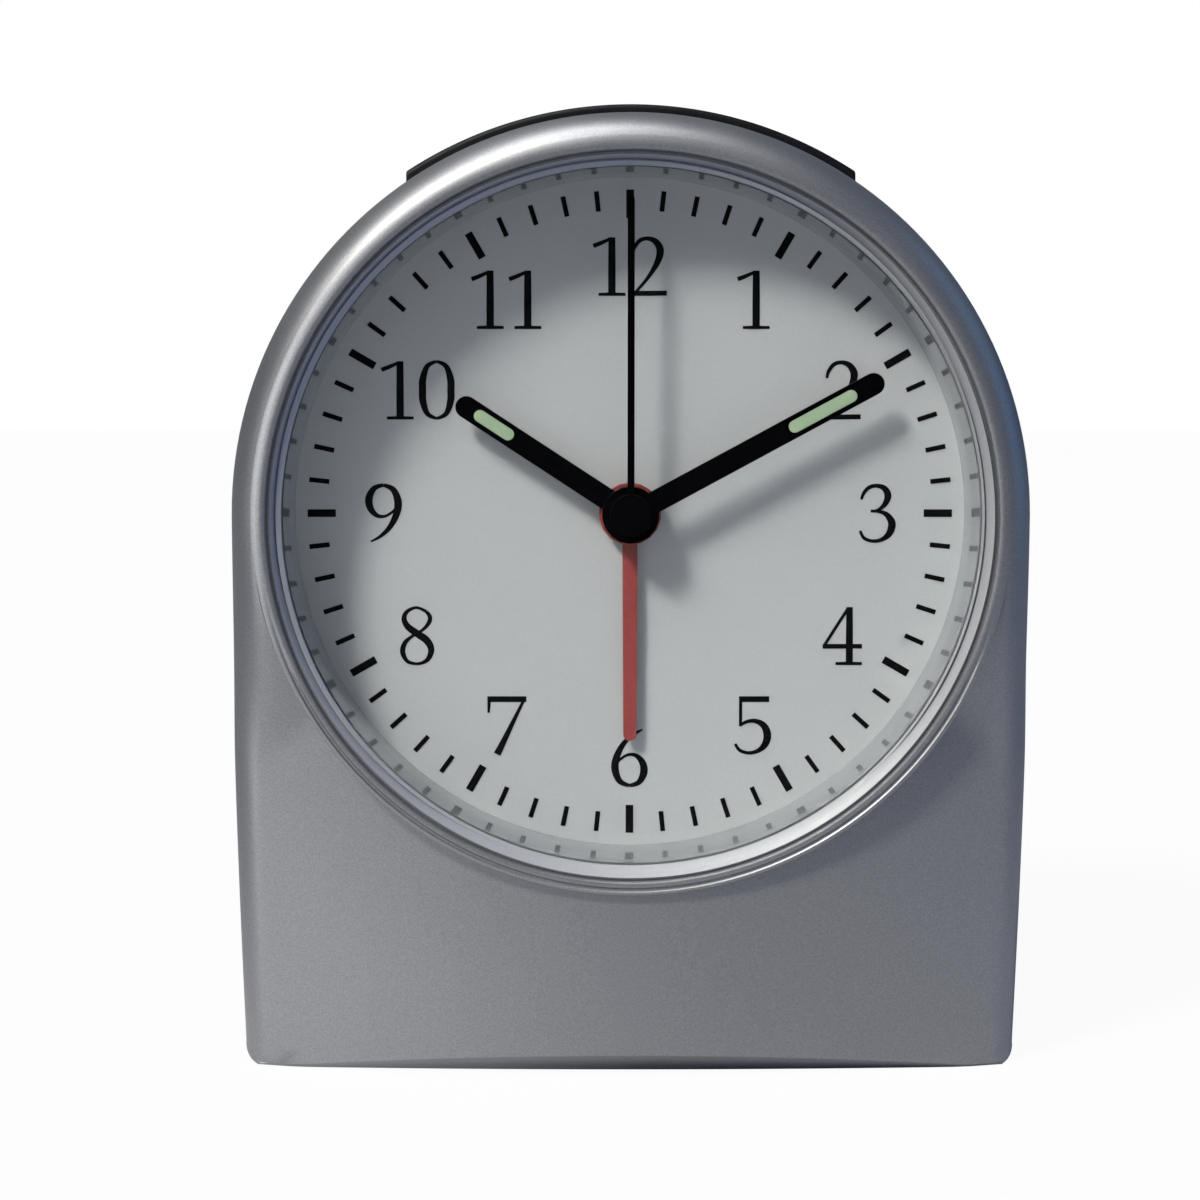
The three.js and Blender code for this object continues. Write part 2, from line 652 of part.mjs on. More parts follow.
function backCover() {
  const tub = box(
    -bayHalfLength - BAY_WALL,
    bayHalfLength + BAY_WALL,
    bayFloor - MOVEMENT_WALL,
    COVER_INSIDE + OVERLAP,
    bayBottom - BAY_WALL,
    bayTop + BAY_WALL,
  );
  const standoffs = screwPosts.map(([x, z]) => {
    return rod(POST_RADIUS + MOVEMENT_WALL, postEnd + FIT, COVER_INSIDE + OVERLAP, x, z);
  });
  const past = BACK + OVERLAP;
  const bay = box(-bayHalfLength, bayHalfLength, bayFloor, past, bayBottom, bayTop);
  const doorSeat = box(recess.left, recess.right, doorInside, past, recess.bottom, recess.top);
  const tabPockets = mirrored.map((side) => {
    const half = TAB_WIDTH / 2 + FIT;
    const front = BACK - DOOR_THICKNESS - TAB_THICKNESS;
    const back = BACK - TAB_THICKNESS + FIT;
    const x = side * TAB_X;
    const [low, high] = [recess.bottom - TAB_LENGTH - 2 * FIT, recess.bottom + DOOR_LEDGE + OVERLAP];
    return box(x - half, x + half, front, back, low, high);
  });
  const screwWays = screwPosts.flatMap(([x, z]) => [
    rod(SCREW_SHANK + FIT, postEnd, past, x, z),
    rod(SCREW_HEAD + FIT, screwSeat, past, x, z),
  ]);
  const buttonWays = Object.values(BUTTON_Z).map((z) => {
    return rod(BUTTON_RADIUS + FIT, COVER_INSIDE - OVERLAP, past, BUTTON_X, up(z), ROUND);
  });
  const stemWay = rod(STEM_RADIUS + FIT, COVER_INSIDE - OVERLAP, past, stem.x, up(stem.z));
  const sliderWay = box(
    SLIDER_X - SLIDER_WIDTH / 2 - FIT,
    SLIDER_X + SLIDER_WIDTH / 2 + SLIDER_TRAVEL + FIT,
    COVER_INSIDE - OVERLAP,
    past,
    up(SLIDER_Z - SLIDER_HEIGHT / 2 - FIT),
    up(SLIDER_Z + SLIDER_HEIGHT / 2 + FIT),
  );
  const soundSlots = Array.from({ length: SOUND_SLOTS }, (_, k) => {
    const x = (k - (SOUND_SLOTS - 1) / 2) * SOUND_SLOT_PITCH;
    const half = SOUND_SLOT_WIDTH / 2;
    const [low, high] = [up(BUZZER_Z - SOUND_SLOT_LENGTH / 2), up(BUZZER_Z + SOUND_SLOT_LENGTH / 2)];
    return box(x - half, x + half, COVER_INSIDE - OVERLAP, past, low, high);
  });
  const notch = rod(NOTCH_RADIUS, BACK - NOTCH_DEPTH, past, 0, recess.top, ROUND);
  const blank = join(coverShell(), tub, ...standoffs);
  const controlWays = [...buttonWays, stemWay, sliderWay];
  return cut(blank, bay, doorSeat, notch, ...tabPockets, ...screwWays, ...controlWays, ...soundSlots);
}

function batteryDoor() {
  const panel = box(
    recess.left + FIT,
    recess.right - FIT,
    doorInside,
    BACK,
    recess.bottom + FIT,
    recess.top - FIT,
  );
  const tabs = mirrored.map((side) => {
    const x = side * TAB_X;
    const back = BACK - TAB_THICKNESS;
    const [low, high] = [recess.bottom - TAB_LENGTH, recess.bottom + 2 * FIT];
    return box(x - TAB_WIDTH / 2, x + TAB_WIDTH / 2, back - TAB_THICKNESS, back, low, high);
  });
  const half = GROOVE_LENGTH / 2;
  const grooves = Array.from({ length: GROOVES }, (_, k) => {
    const low = recess.top - NOTCH_RADIUS / 2 - (k + 1) * GROOVE_PITCH;
    return box(-half, half, BACK - GROOVE_DEPTH, BACK + OVERLAP, low, low + GROOVE_WIDTH);
  });
  return cut(join(panel, ...tabs), ...grooves);
}

// Battery

const cellRight = bayHalfLength - CONTACT_THICKNESS - FIT;
const cellLeft = cellRight - CELL_LENGTH;

function battery() {
  const can = cellRight - CELL_NUB_LENGTH;
  const profile = [
    [0, cellLeft],
    [CELL_RADIUS - FIT, cellLeft],
    [CELL_RADIUS, cellLeft + FIT],
    [CELL_RADIUS, can - FIT],
    [CELL_RADIUS - FIT, can],
    [CELL_NUB_RADIUS, can],
    [CELL_NUB_RADIUS, cellRight],
    [0, cellRight],
  ].map(([radius, along]) => new THREE.Vector2(radius, along));
  const cell = facingOut(new THREE.LatheGeometry(profile, ROUND));
  return cell.rotateZ(-Math.PI / 2).translate(0, cellY, BAY_HEIGHT);
}

// A strip folded in plan, standing upright at the end of the cell.
function negativeContact() {
  const wall = -bayHalfLength;
  const tip = cellLeft - FIT;
  const t = CONTACT_THICKNESS;
  const half = CELL_RADIUS - 2 * t;
  const shape = new THREE.Shape(
    [
      [wall, cellY + half],
      [wall, cellY - half],
      [tip, cellY - 2 * t],
      [tip, cellY + 4 * t],
      [tip - t, cellY + 4 * t],
      [tip - t, cellY - t],
      [wall + t, cellY - half + 2 * t],
      [wall + t, cellY + half],
    ].map(([x, y]) => new THREE.Vector2(x, y)),
  );
  const strip = new THREE.ExtrudeGeometry(shape, { depth: CONTACT_WIDTH, bevelEnabled: false });
  return strip.translate(0, 0, BAY_HEIGHT - CONTACT_WIDTH / 2);
}

function positiveContact() {
  const half = CELL_RADIUS - 2 * CONTACT_THICKNESS;
  const wall = bayHalfLength;
  const low = BAY_HEIGHT - CONTACT_WIDTH / 2;
  return box(wall - CONTACT_THICKNESS, wall, cellY - half, cellY + half, low, low + CONTACT_WIDTH);
}

// Window

const disc = (radius, front, back) => rod(radius, front, back, 0, AXIS_HEIGHT, 4 * ARCH_STEPS);

function dialRing() {
  const profile = [
    [WINDOW_RADIUS, LENS_BACK],
    [LENS_RADIUS, LENS_BACK],
    [LENS_RADIUS, DIAL_DEPTH],
    [WINDOW_RADIUS - DIAL_RING_DRAFT, DIAL_DEPTH],
  ];
  return turned(profile, 0, AXIS_HEIGHT, 4 * ARCH_STEPS);
}

const pipeRadius = (level) => ARBOR_RADIUS + level * (RUN + PIPE_WALL);
const minutePipe = pipeRadius(1);
const hourPipe = pipeRadius(2);
const alarmPipe = pipeRadius(3);
const bushOuter = alarmPipe + RUN + BUSH_WALL;

function dial() {
  return pipe(LENS_RADIUS, bushOuter + FIT, DIAL_DEPTH, DIAL_BACK, 0, AXIS_HEIGHT, 4 * ARCH_STEPS);
}

// Hands

// Depths of a hand's hub and blade, counted from the dial: 0 alarm, 1 hour, 2 minute, 3 second.
function handLevel(level) {
  const hubBack = DIAL_DEPTH - 2 * FIT - level * HAND_PITCH;
  const hubFront = hubBack - HUB_HEIGHT;
  const bladeFront = hubFront + HAND_DROP;
  return { hubFront, hubBack, bladeFront, bladeBack: bladeFront + HAND_THICKNESS };
}
const ALARM_LEVEL = handLevel(0);
const HOUR_LEVEL = handLevel(1);
const MINUTE_LEVEL = handLevel(2);
const SECOND_LEVEL = handLevel(3);

// A blade that points at twelve, from the axis to a round tip.
function blade(length, width, tipWidth, level) {
  const tip = tipWidth / 2;
  const shape = new THREE.Shape();
  shape.moveTo(-width / 2, 0);
  shape.lineTo(width / 2, 0);
  shape.absarc(0, length - tip, tip, 0, Math.PI);
  return plate(shape, level.bladeFront, level.bladeBack, SMALL_ROUND / 2);
}

// A hand about its own axis: blade and hub joined, bored for its pipe.
function hand(length, width, tipWidth, hubRadius, bore, level) {
  const hub = rod(hubRadius, level.hubFront, level.hubBack, 0, 0, ROUND);
  const whole = join(blade(length, width, tipWidth, level), hub);
  return cut(whole, rod(bore + RUN, level.hubFront - OVERLAP, level.hubBack + OVERLAP, 0, 0));
}

function lumeShape([from, to], width) {
  const half = width / 2;
  const shape = new THREE.Shape();
  shape.absarc(0, to - half, half, 0, Math.PI);
  shape.absarc(0, from + half, half, Math.PI, 2 * Math.PI);
  return shape;
}

function lume(span, level) {
  const front = level.bladeFront;
  return plate(lumeShape(span, LUME_WIDTH), front, front + LUME_THICKNESS, SMALL_ROUND / 2);
}

function lumeHand(length, bore, span, level) {
  const pocket = plate(
    lumeShape(span, LUME_WIDTH + RUN),
    level.bladeFront - OVERLAP,
    level.bladeFront + LUME_THICKNESS,
    SMALL_ROUND / 2,
  );
  return cut(hand(length, HAND_WIDTH, HAND_WIDTH, HUB_RADIUS, bore, level), pocket);
}

const arborFront = SECOND_LEVEL.hubFront + 2 * FIT;

function secondHand() {
  const hub = rod(SECOND_HUB_RADIUS, SECOND_LEVEL.hubFront, SECOND_LEVEL.hubBack, 0, 0, ROUND);
  const needle = blade(SECOND_LENGTH, SECOND_WIDTH, SECOND_WIDTH, SECOND_LEVEL);
  const bore = rod(ARBOR_RADIUS + RUN, arborFront - RUN, SECOND_LEVEL.hubBack + OVERLAP, 0, 0);
  return cut(join(needle, hub), bore);
}

// Gears

const pitchRadius = (teeth) => (MODULE * teeth) / 2;

// Where an axis lies from the dial centre, a pair's distance away in the given direction.
function meshedAt(from, direction, teeth, otherTeeth) {
  const distance = pitchRadius(teeth) + pitchRadius(otherTeeth);
  const angle = radians(direction);
  return { x: from.x + distance * Math.cos(angle), z: from.z + distance * Math.sin(angle) };
}
const centre = { x: 0, z: 0 };
const motion = meshedAt(centre, MOTION_DIRECTION, CANNON_TEETH, MOTION_TEETH);
const minuteDrive = meshedAt(centre, MINUTE_DRIVE_DIRECTION, MINUTE_TEETH, MINUTE_DRIVE_PINION_TEETH);
const minuteRotor = meshedAt(minuteDrive, MINUTE_ROTOR_DIRECTION, MINUTE_DRIVE_TEETH, MINUTE_ROTOR_TEETH);
const secondsDrive = meshedAt(centre, SECONDS_DRIVE_DIRECTION, SECONDS_TEETH, SECONDS_DRIVE_PINION_TEETH);
const secondsRotor = meshedAt(
  secondsDrive,
  SECONDS_ROTOR_DIRECTION,
  SECONDS_DRIVE_TEETH,
  SECONDS_ROTOR_TEETH,
);
const stem = meshedAt(centre, STEM_DIRECTION, ALARM_TEETH, STEM_TEETH);

// Depths of the wheels, one layer behind the other.
function layerAfter(back) {
  const front = back + LAYER_GAP;
  return { front, back: front + WHEEL_THICKNESS };
}
const ALARM_LAYER = layerAfter(PLATE_BACK);
const HOUR_LAYER = layerAfter(ALARM_LAYER.back);
const MOTION_LAYER = layerAfter(HOUR_LAYER.back + FIT);
const MINUTE_LAYER = layerAfter(MOTION_LAYER.back);
const MINUTE_DRIVE_LAYER = layerAfter(MINUTE_LAYER.back);
const SECONDS_LAYER = layerAfter(MINUTE_DRIVE_LAYER.back);
const SECONDS_DRIVE_LAYER = layerAfter(SECONDS_LAYER.back);
const REAR_PLATE_FRONT = SECONDS_DRIVE_LAYER.back + REAR_PLATE_GAP;
const REAR_PLATE_BACK = REAR_PLATE_FRONT + REAR_PLATE_THICKNESS;
const pivotFront = DIAL_BACK + PLATE_THICKNESS / 2;
const pivotBack = REAR_PLATE_FRONT + REAR_PLATE_THICKNESS / 2;

// A toothed disc about its own axis. The middle of one tooth points in the direction `phase`, in degrees.
function toothed(teeth, phase, front, back) {
  const pitch = pitchRadius(teeth);
  const root = pitch - DEDENDUM * MODULE;
  const tip = pitch + ADDENDUM * MODULE;
  const step = (2 * Math.PI) / teeth;
  const shape = new THREE.Shape();
  for (let k = 0; k < teeth; k += 1) {
    const middle = radians(phase) + k * step;
    const corners = [
      [root, middle - step / 2],
      [tip, middle - TIP_HALF * step],
      [tip, middle + TIP_HALF * step],
    ];
    corners.forEach(([radius, angle], n) => {
      const point = [radius * Math.cos(angle), radius * Math.sin(angle)];
      if (k + n === 0) {
        shape.moveTo(...point);
      } else {
        shape.lineTo(...point);
      }
    });
  }
  return plate(shape, front, back);
}

// Phase of a gear that takes the other gear's tooth into a gap, seen from its own axis.
const gapPhase = (direction, teeth) => direction + 180 + 180 / teeth;

const bored = (geometry, radius) => cut(geometry, rod(radius, 0, BACK, 0, 0));

function wheelOnPipe(teeth, phase, layer, outer, front) {
  const wheel = toothed(teeth, phase, layer.front, layer.back);
  return bored(join(wheel, rod(outer, front, layer.back, 0, 0)), outer - PIPE_WALL);
}

function minuteWheel() {
  const wheel = toothed(MINUTE_TEETH, MINUTE_DRIVE_DIRECTION, MINUTE_LAYER.front, MINUTE_LAYER.back);
  const cannonFront = MOTION_LAYER.front - PINION_REACH;
  const cannon = toothed(CANNON_TEETH, MOTION_DIRECTION, cannonFront, MINUTE_LAYER.front + OVERLAP);
  const sleeve = rod(minutePipe, MINUTE_LEVEL.hubFront, MINUTE_LAYER.back, 0, 0);
  return bored(join(wheel, cannon, sleeve), ARBOR_RADIUS + RUN);
}

function motionWheel() {
  const wheelPhase = gapPhase(MOTION_DIRECTION, MOTION_TEETH);
  const pinionPhase = gapPhase(MOTION_DIRECTION, MOTION_PINION_TEETH);
  const wheel = toothed(MOTION_TEETH, wheelPhase, MOTION_LAYER.front, MOTION_LAYER.back);
  const front = HOUR_LAYER.front - PINION_REACH;
  const pinion = toothed(MOTION_PINION_TEETH, pinionPhase, front, MOTION_LAYER.front + OVERLAP);
  return bored(join(wheel, pinion), STUD_RADIUS + RUN);
}

// A drive wheel: pinion into the hand's wheel, wheel for the rotor's pinion, and an arbor between the plates.
function driveWheel(pinionTeeth, direction, pinionLayer, teeth, rotorDirection, layer) {
  const pinion = toothed(
    pinionTeeth,
    gapPhase(direction, pinionTeeth),
    pinionLayer.front - PINION_REACH,
    layer.front + OVERLAP,
  );
  const wheel = toothed(teeth, rotorDirection, layer.front, layer.back);
  return join(pinion, wheel, rod(ARBOR_RADIUS, pivotFront, pivotBack, 0, 0));
}

// A rotor: pinion, magnet and arbor.
function rotor(teeth, direction, layer, magnetFront) {
  const [front, back] = [layer.front - PINION_REACH, layer.back + PINION_REACH];
  const pinion = toothed(teeth, gapPhase(direction, teeth), front, back);
  const magnet = rod(MAGNET_RADIUS, magnetFront, magnetFront + MAGNET_LENGTH, 0, 0, ROUND);
  return join(pinion, magnet, rod(ARBOR_RADIUS, pivotFront, pivotBack, 0, 0));
}
const MINUTE_MAGNET = MINUTE_DRIVE_LAYER.back + PINION_REACH + RUN;
const SECONDS_MAGNET = SECONDS_DRIVE_LAYER.front - PINION_REACH - RUN - MAGNET_LENGTH;

function secondsWheel() {
  const wheel = toothed(SECONDS_TEETH, SECONDS_DRIVE_DIRECTION, SECONDS_LAYER.front, SECONDS_LAYER.back);
  return join(wheel, rod(ARBOR_RADIUS, arborFront, pivotBack, 0, 0));
}

const knobBore = BACK + FIT + KNOB_LENGTH / 2;

function alarmStem() {
  const phase = gapPhase(STEM_DIRECTION, STEM_TEETH);
  const front = ALARM_LAYER.front - PINION_REACH;
  const pinion = toothed(STEM_TEETH, phase, front, ALARM_LAYER.back + PINION_REACH);
  const shaft = rod(STEM_RADIUS, front + OVERLAP, knobBore, 0, 0);
  return join(pinion, shaft, rod(STUD_RADIUS, pivotFront, front + OVERLAP, 0, 0));
}

function alarmKnob() {
  const shape = new THREE.Shape();
  for (let k = 0; k < KNOB_RIDGES * 2; k += 1) {
    const angle = (k / KNOB_RIDGES) * Math.PI;
    const radius = KNOB_RADIUS - (k % 2) * KNOB_RIDGE_DEPTH;
    const point = [radius * Math.cos(angle), radius * Math.sin(angle)];
    if (k === 0) {
      shape.moveTo(...point);
    } else {
      shape.lineTo(...point);
    }
  }
  const front = BACK + FIT;
  const grip = plate(shape, front, front + KNOB_LENGTH);
  return cut(grip, rod(STEM_RADIUS + RUN, front - OVERLAP, knobBore + RUN, 0, 0));
}

// Movement

function movementHousing() {
  const outer = roundedSquare(MOVEMENT_SIZE, MOVEMENT_CORNER, 0, AXIS_HEIGHT);
  const base = plate(outer, DIAL_BACK, PLATE_BACK, 4);
  const frame = roundedSquare(MOVEMENT_SIZE, MOVEMENT_CORNER, 0, AXIS_HEIGHT);
  const inner = MOVEMENT_CORNER - MOVEMENT_WALL;
  frame.holes.push(roundedSquare(MOVEMENT_SIZE - 2 * MOVEMENT_WALL, inner, 0, AXIS_HEIGHT));
  const walls = plate(frame, PLATE_BACK - OVERLAP, REAR_PLATE_FRONT, 4);
  const bush = rod(bushOuter, DIAL_DEPTH - FIT, PLATE_BACK);
  const stud = rod(STUD_RADIUS, PLATE_BACK - OVERLAP, MOTION_LAYER.back, motion.x, up(motion.z));
  const ears = mirrored.map((side) => {
    const [near, far] = [side * (MOVEMENT_SIZE / 2 - OVERLAP), side * (EAR_X + EAR_RADIUS)];
    const [low, high] = [up(EAR_Z - EAR_RADIUS), up(EAR_Z + EAR_RADIUS)];
    return box(Math.min(near, far), Math.max(near, far), DIAL_BACK, PLATE_BACK, low, high);
  });
  const cheekShape = rectangle(
    ANTENNA_Y - ANTENNA_RADIUS - MOVEMENT_WALL,
    ANTENNA_Y + ANTENNA_RADIUS + MOVEMENT_WALL,
    up(antennaZ - ANTENNA_RADIUS - MOVEMENT_WALL),
    up(-MOVEMENT_SIZE / 2 + OVERLAP),
  );
  cheekShape.holes.push(hole(ANTENNA_RADIUS + RUN, ANTENNA_Y, up(antennaZ)));
  const cheeks = mirrored.map((side) => {
    return slab(cheekShape, side * CHEEK_X - CHEEK_WIDTH / 2, side * CHEEK_X + CHEEK_WIDTH / 2);
  });
  const pillars = stators.flatMap(({ axis, front }) =>
    mirrored.map((side) => {
      const x = axis.x + side * (STATOR_HALF_WIDTH - PILLAR_RADIUS);
      return rod(PILLAR_RADIUS, PLATE_BACK - OVERLAP, front, x, up(axis.z - STATOR_BOTTOM + PILLAR_RADIUS));
    }),
  );
  const pivots = [minuteDrive, minuteRotor, secondsDrive, secondsRotor].map(({ x, z }) => {
    return rod(ARBOR_RADIUS + RUN, DIAL_BACK - OVERLAP, PLATE_BACK + OVERLAP, x, up(z));
  });
  const stemPivot = rod(STUD_RADIUS + RUN, DIAL_BACK - OVERLAP, PLATE_BACK + OVERLAP, stem.x, up(stem.z));
  const bore = rod(alarmPipe + RUN, 0, BACK, 0, AXIS_HEIGHT);
  const earHoles = mirrored.map((side) => {
    return rod(EAR_SCREW_SHANK + FIT, DIAL_BACK - OVERLAP, PLATE_BACK + OVERLAP, side * EAR_X, up(EAR_Z));
  });
  const whole = join(base, walls, bush, stud, ...ears, ...cheeks, ...pillars);
  return cut(whole, bore, stemPivot, ...pivots, ...earHoles);
}

function rearPlate() {
  const shape = roundedSquare(MOVEMENT_SIZE, MOVEMENT_CORNER, 0, AXIS_HEIGHT);
  [centre, minuteDrive, minuteRotor, secondsDrive, secondsRotor].forEach(({ x, z }) => {
    shape.holes.push(hole(ARBOR_RADIUS + RUN, x, up(z)));
  });
  shape.holes.push(hole(STEM_RADIUS + RUN, stem.x, up(stem.z)));
  return plate(shape, REAR_PLATE_FRONT, REAR_PLATE_BACK, SMALL_ROUND / 2);
}

const stators = [
  { name: "minute", axis: minuteRotor, front: MINUTE_MAGNET + (MAGNET_LENGTH - STATOR_THICKNESS) / 2 },
  { name: "seconds", axis: secondsRotor, front: SECONDS_MAGNET + (MAGNET_LENGTH - STATOR_THICKNESS) / 2 },
];
const coreMiddle = -STATOR_BOTTOM + CORE_HEIGHT / 2;

// A flat iron ring round the rotor, with a window that leaves a core below for the coil.
function stator(axis, front) {
  const shape = rectangle(
    axis.x - STATOR_HALF_WIDTH,
    axis.x + STATOR_HALF_WIDTH,
    up(axis.z - STATOR_BOTTOM),
    up(axis.z + STATOR_TOP),
  );
  shape.holes.push(hole(MAGNET_RADIUS + FIT, axis.x, up(axis.z)));
  const half = COIL_LENGTH / 2 + FIT;
  const low = up(axis.z + coreMiddle + CORE_HEIGHT / 2);
  shape.holes.push(rectangle(axis.x - half, axis.x + half, low, low + COIL_WALL + 3 * FIT));
  return plate(shape, front, front + STATOR_THICKNESS);
}

// A winding round the stator's core.
function coil(axis, front) {
  const middle = front + STATOR_THICKNESS / 2;
  const z = up(axis.z + coreMiddle);
  const [halfY, halfZ] = [STATOR_THICKNESS / 2 + FIT, CORE_HEIGHT / 2 + FIT];
  const shape = rectangle(
    middle - halfY - COIL_WALL,
    middle + halfY + COIL_WALL,
    z - halfZ - COIL_WALL,
    z + halfZ + COIL_WALL,
  );
  shape.holes.push(rectangle(middle - halfY, middle + halfY, z - halfZ, z + halfZ));
  return slab(shape, axis.x - COIL_LENGTH / 2, axis.x + COIL_LENGTH / 2);
}

// Circuit board and what is on it

const BOARD_BACK = REAR_PLATE_BACK + BOARD_THICKNESS;

function circuitBoard() {
  const half = BOARD_SIZE / 2;
  const shape = rectangle(-half, half, up(-half), up(half));
  shape.holes.push(hole(STEM_RADIUS + FIT, stem.x, up(stem.z)));
  return plate(shape, REAR_PLATE_BACK, BOARD_BACK);
}

const KEY_BACK = BOARD_BACK + KEY_HEIGHT;
const keyStem = BUTTON_RADIUS / 2;

function keySwitch(z) {
  const half = KEY_SIZE / 2;
  const body = box(BUTTON_X - half, BUTTON_X + half, BOARD_BACK, KEY_BACK, up(z - half), up(z + half));
  const depth = BUTTON_TRAVEL + 2 * FIT;
  return cut(body, rod(keyStem + FIT, KEY_BACK - depth, KEY_BACK + OVERLAP, BUTTON_X, up(z)));
}

// A push button: cap outside, flange behind the cover's wall, stem to its key switch.
function button(z) {
  const flangeBack = COVER_INSIDE - FIT;
  const flangeFront = flangeBack - BUTTON_FLANGE;
  const profile = [
    [0, KEY_BACK - FIT],
    [keyStem, KEY_BACK - FIT],
    [keyStem, flangeFront],
    [BUTTON_RADIUS + BUTTON_FLANGE, flangeFront],
    [BUTTON_RADIUS + BUTTON_FLANGE, flangeBack],
    [BUTTON_RADIUS, flangeBack],
    [BUTTON_RADIUS, BACK + BUTTON_PROUD - FIT],
    [BUTTON_RADIUS - FIT, BACK + BUTTON_PROUD],
    [0, BACK + BUTTON_PROUD],
  ];
  return turned(profile, BUTTON_X, up(z), SMALL_ROUND);
}

function alarmSwitchBase() {
  const [left, right] = [SLIDER_X - SLIDER_WIDTH / 2, SLIDER_X + SLIDER_WIDTH / 2 + SLIDER_TRAVEL];
  const half = KEY_SIZE / 2;
  const body = box(left, right, BOARD_BACK, KEY_BACK, up(SLIDER_Z - half), up(SLIDER_Z + half));
  const reach = PEG_RADIUS + FIT;
  const track = box(
    SLIDER_X - reach,
    SLIDER_X + SLIDER_TRAVEL + reach,
    KEY_BACK - KEY_HEIGHT / 2,
    KEY_BACK + OVERLAP,
    up(SLIDER_Z - reach),
    up(SLIDER_Z + reach),
  );
  return cut(body, track);
}

// The alarm slider: grip in the cover's slot, flange behind the wall, peg into the switch.
function alarmSlider() {
  const [halfX, halfZ] = [SLIDER_WIDTH / 2, SLIDER_HEIGHT / 2];
  const flangeBack = COVER_INSIDE - FIT;
  const flangeFront = flangeBack - BUTTON_FLANGE;
  const grip = box(
    SLIDER_X - halfX,
    SLIDER_X + halfX,
    flangeFront + FIT,
    BACK + BUTTON_PROUD,
    up(SLIDER_Z - halfZ),
    up(SLIDER_Z + halfZ),
  );
  const flange = box(
    SLIDER_X - halfX - SLIDER_FLANGE,
    SLIDER_X + halfX + SLIDER_FLANGE,
    flangeFront,
    flangeBack,
    up(SLIDER_Z - halfZ - SLIDER_FLANGE),
    up(SLIDER_Z + halfZ + SLIDER_FLANGE),
  );
  const peg = rod(PEG_RADIUS, KEY_BACK - KEY_HEIGHT / 2 + FIT, flangeFront + OVERLAP, SLIDER_X, up(SLIDER_Z));
  return join(grip, flange, peg);
}

function controlChip() {
  const half = CHIP_SIZE / 2;
  const [low, high] = [up(CHIP_Z - half), up(CHIP_Z + half)];
  return box(CHIP_X - half, CHIP_X + half, BOARD_BACK, BOARD_BACK + CHIP_HEIGHT, low, high);
}

function quartzCrystal() {
  const can = new THREE.CylinderGeometry(CRYSTAL_RADIUS, CRYSTAL_RADIUS, CRYSTAL_LENGTH, SMALL_ROUND);
  can.rotateZ(Math.PI / 2);
  return can.translate(CRYSTAL_X, BOARD_BACK + CRYSTAL_RADIUS + RUN, up(CRYSTAL_Z));
}

// Antenna, buzzer and screws

const antennaZ = -MOVEMENT_SIZE / 2 - FIT - ANTENNA_RADIUS - RUN - ANTENNA_COIL_WALL;

function antennaRod() {
  const bar = new THREE.CylinderGeometry(ANTENNA_RADIUS, ANTENNA_RADIUS, ANTENNA_LENGTH, SMALL_ROUND);
  return bar.rotateZ(Math.PI / 2).translate(0, ANTENNA_Y, up(antennaZ));
}

function antennaCoil() {
  const half = ANTENNA_COIL_LENGTH / 2;
  const [inner, outer] = [ANTENNA_RADIUS + RUN, ANTENNA_RADIUS + RUN + ANTENNA_COIL_WALL];
  const winding = pipe(outer, inner, -half, half, 0, 0, SMALL_ROUND);
  return winding.rotateZ(Math.PI / 2).translate(0, ANTENNA_Y, up(antennaZ));
}

function buzzer() {
  return rod(BUZZER_RADIUS, COVER_INSIDE - BUZZER_THICKNESS, COVER_INSIDE, 0, up(BUZZER_Z), ROUND);
}

// A pan-head screw whose head sits at `seat` and whose shank runs to the front.
function screw(x, z, seat, shank, head, headHeight, length) {
  const profile = [
    [0, seat - length],
    [shank, seat - length + shank],
    [shank, seat],
    [head, seat],
    [head, seat + headHeight / 2],
    [head / 2, seat + headHeight],
    [0, seat + headHeight],
  ];
  return turned(profile, x, z, SMALL_ROUND);
}

// Snooze bar

const snoozeInner = SLEEVE_OUTER + SNOOZE_TRAVEL + 2 * FIT;
const snoozeOuter = ARCH_RADIUS + SNOOZE_PROUD;
const snoozeMiddle = SNOOZE_FRONT + SNOOZE_DEPTH / 2;
const switchBottom = up(MOVEMENT_SIZE / 2);

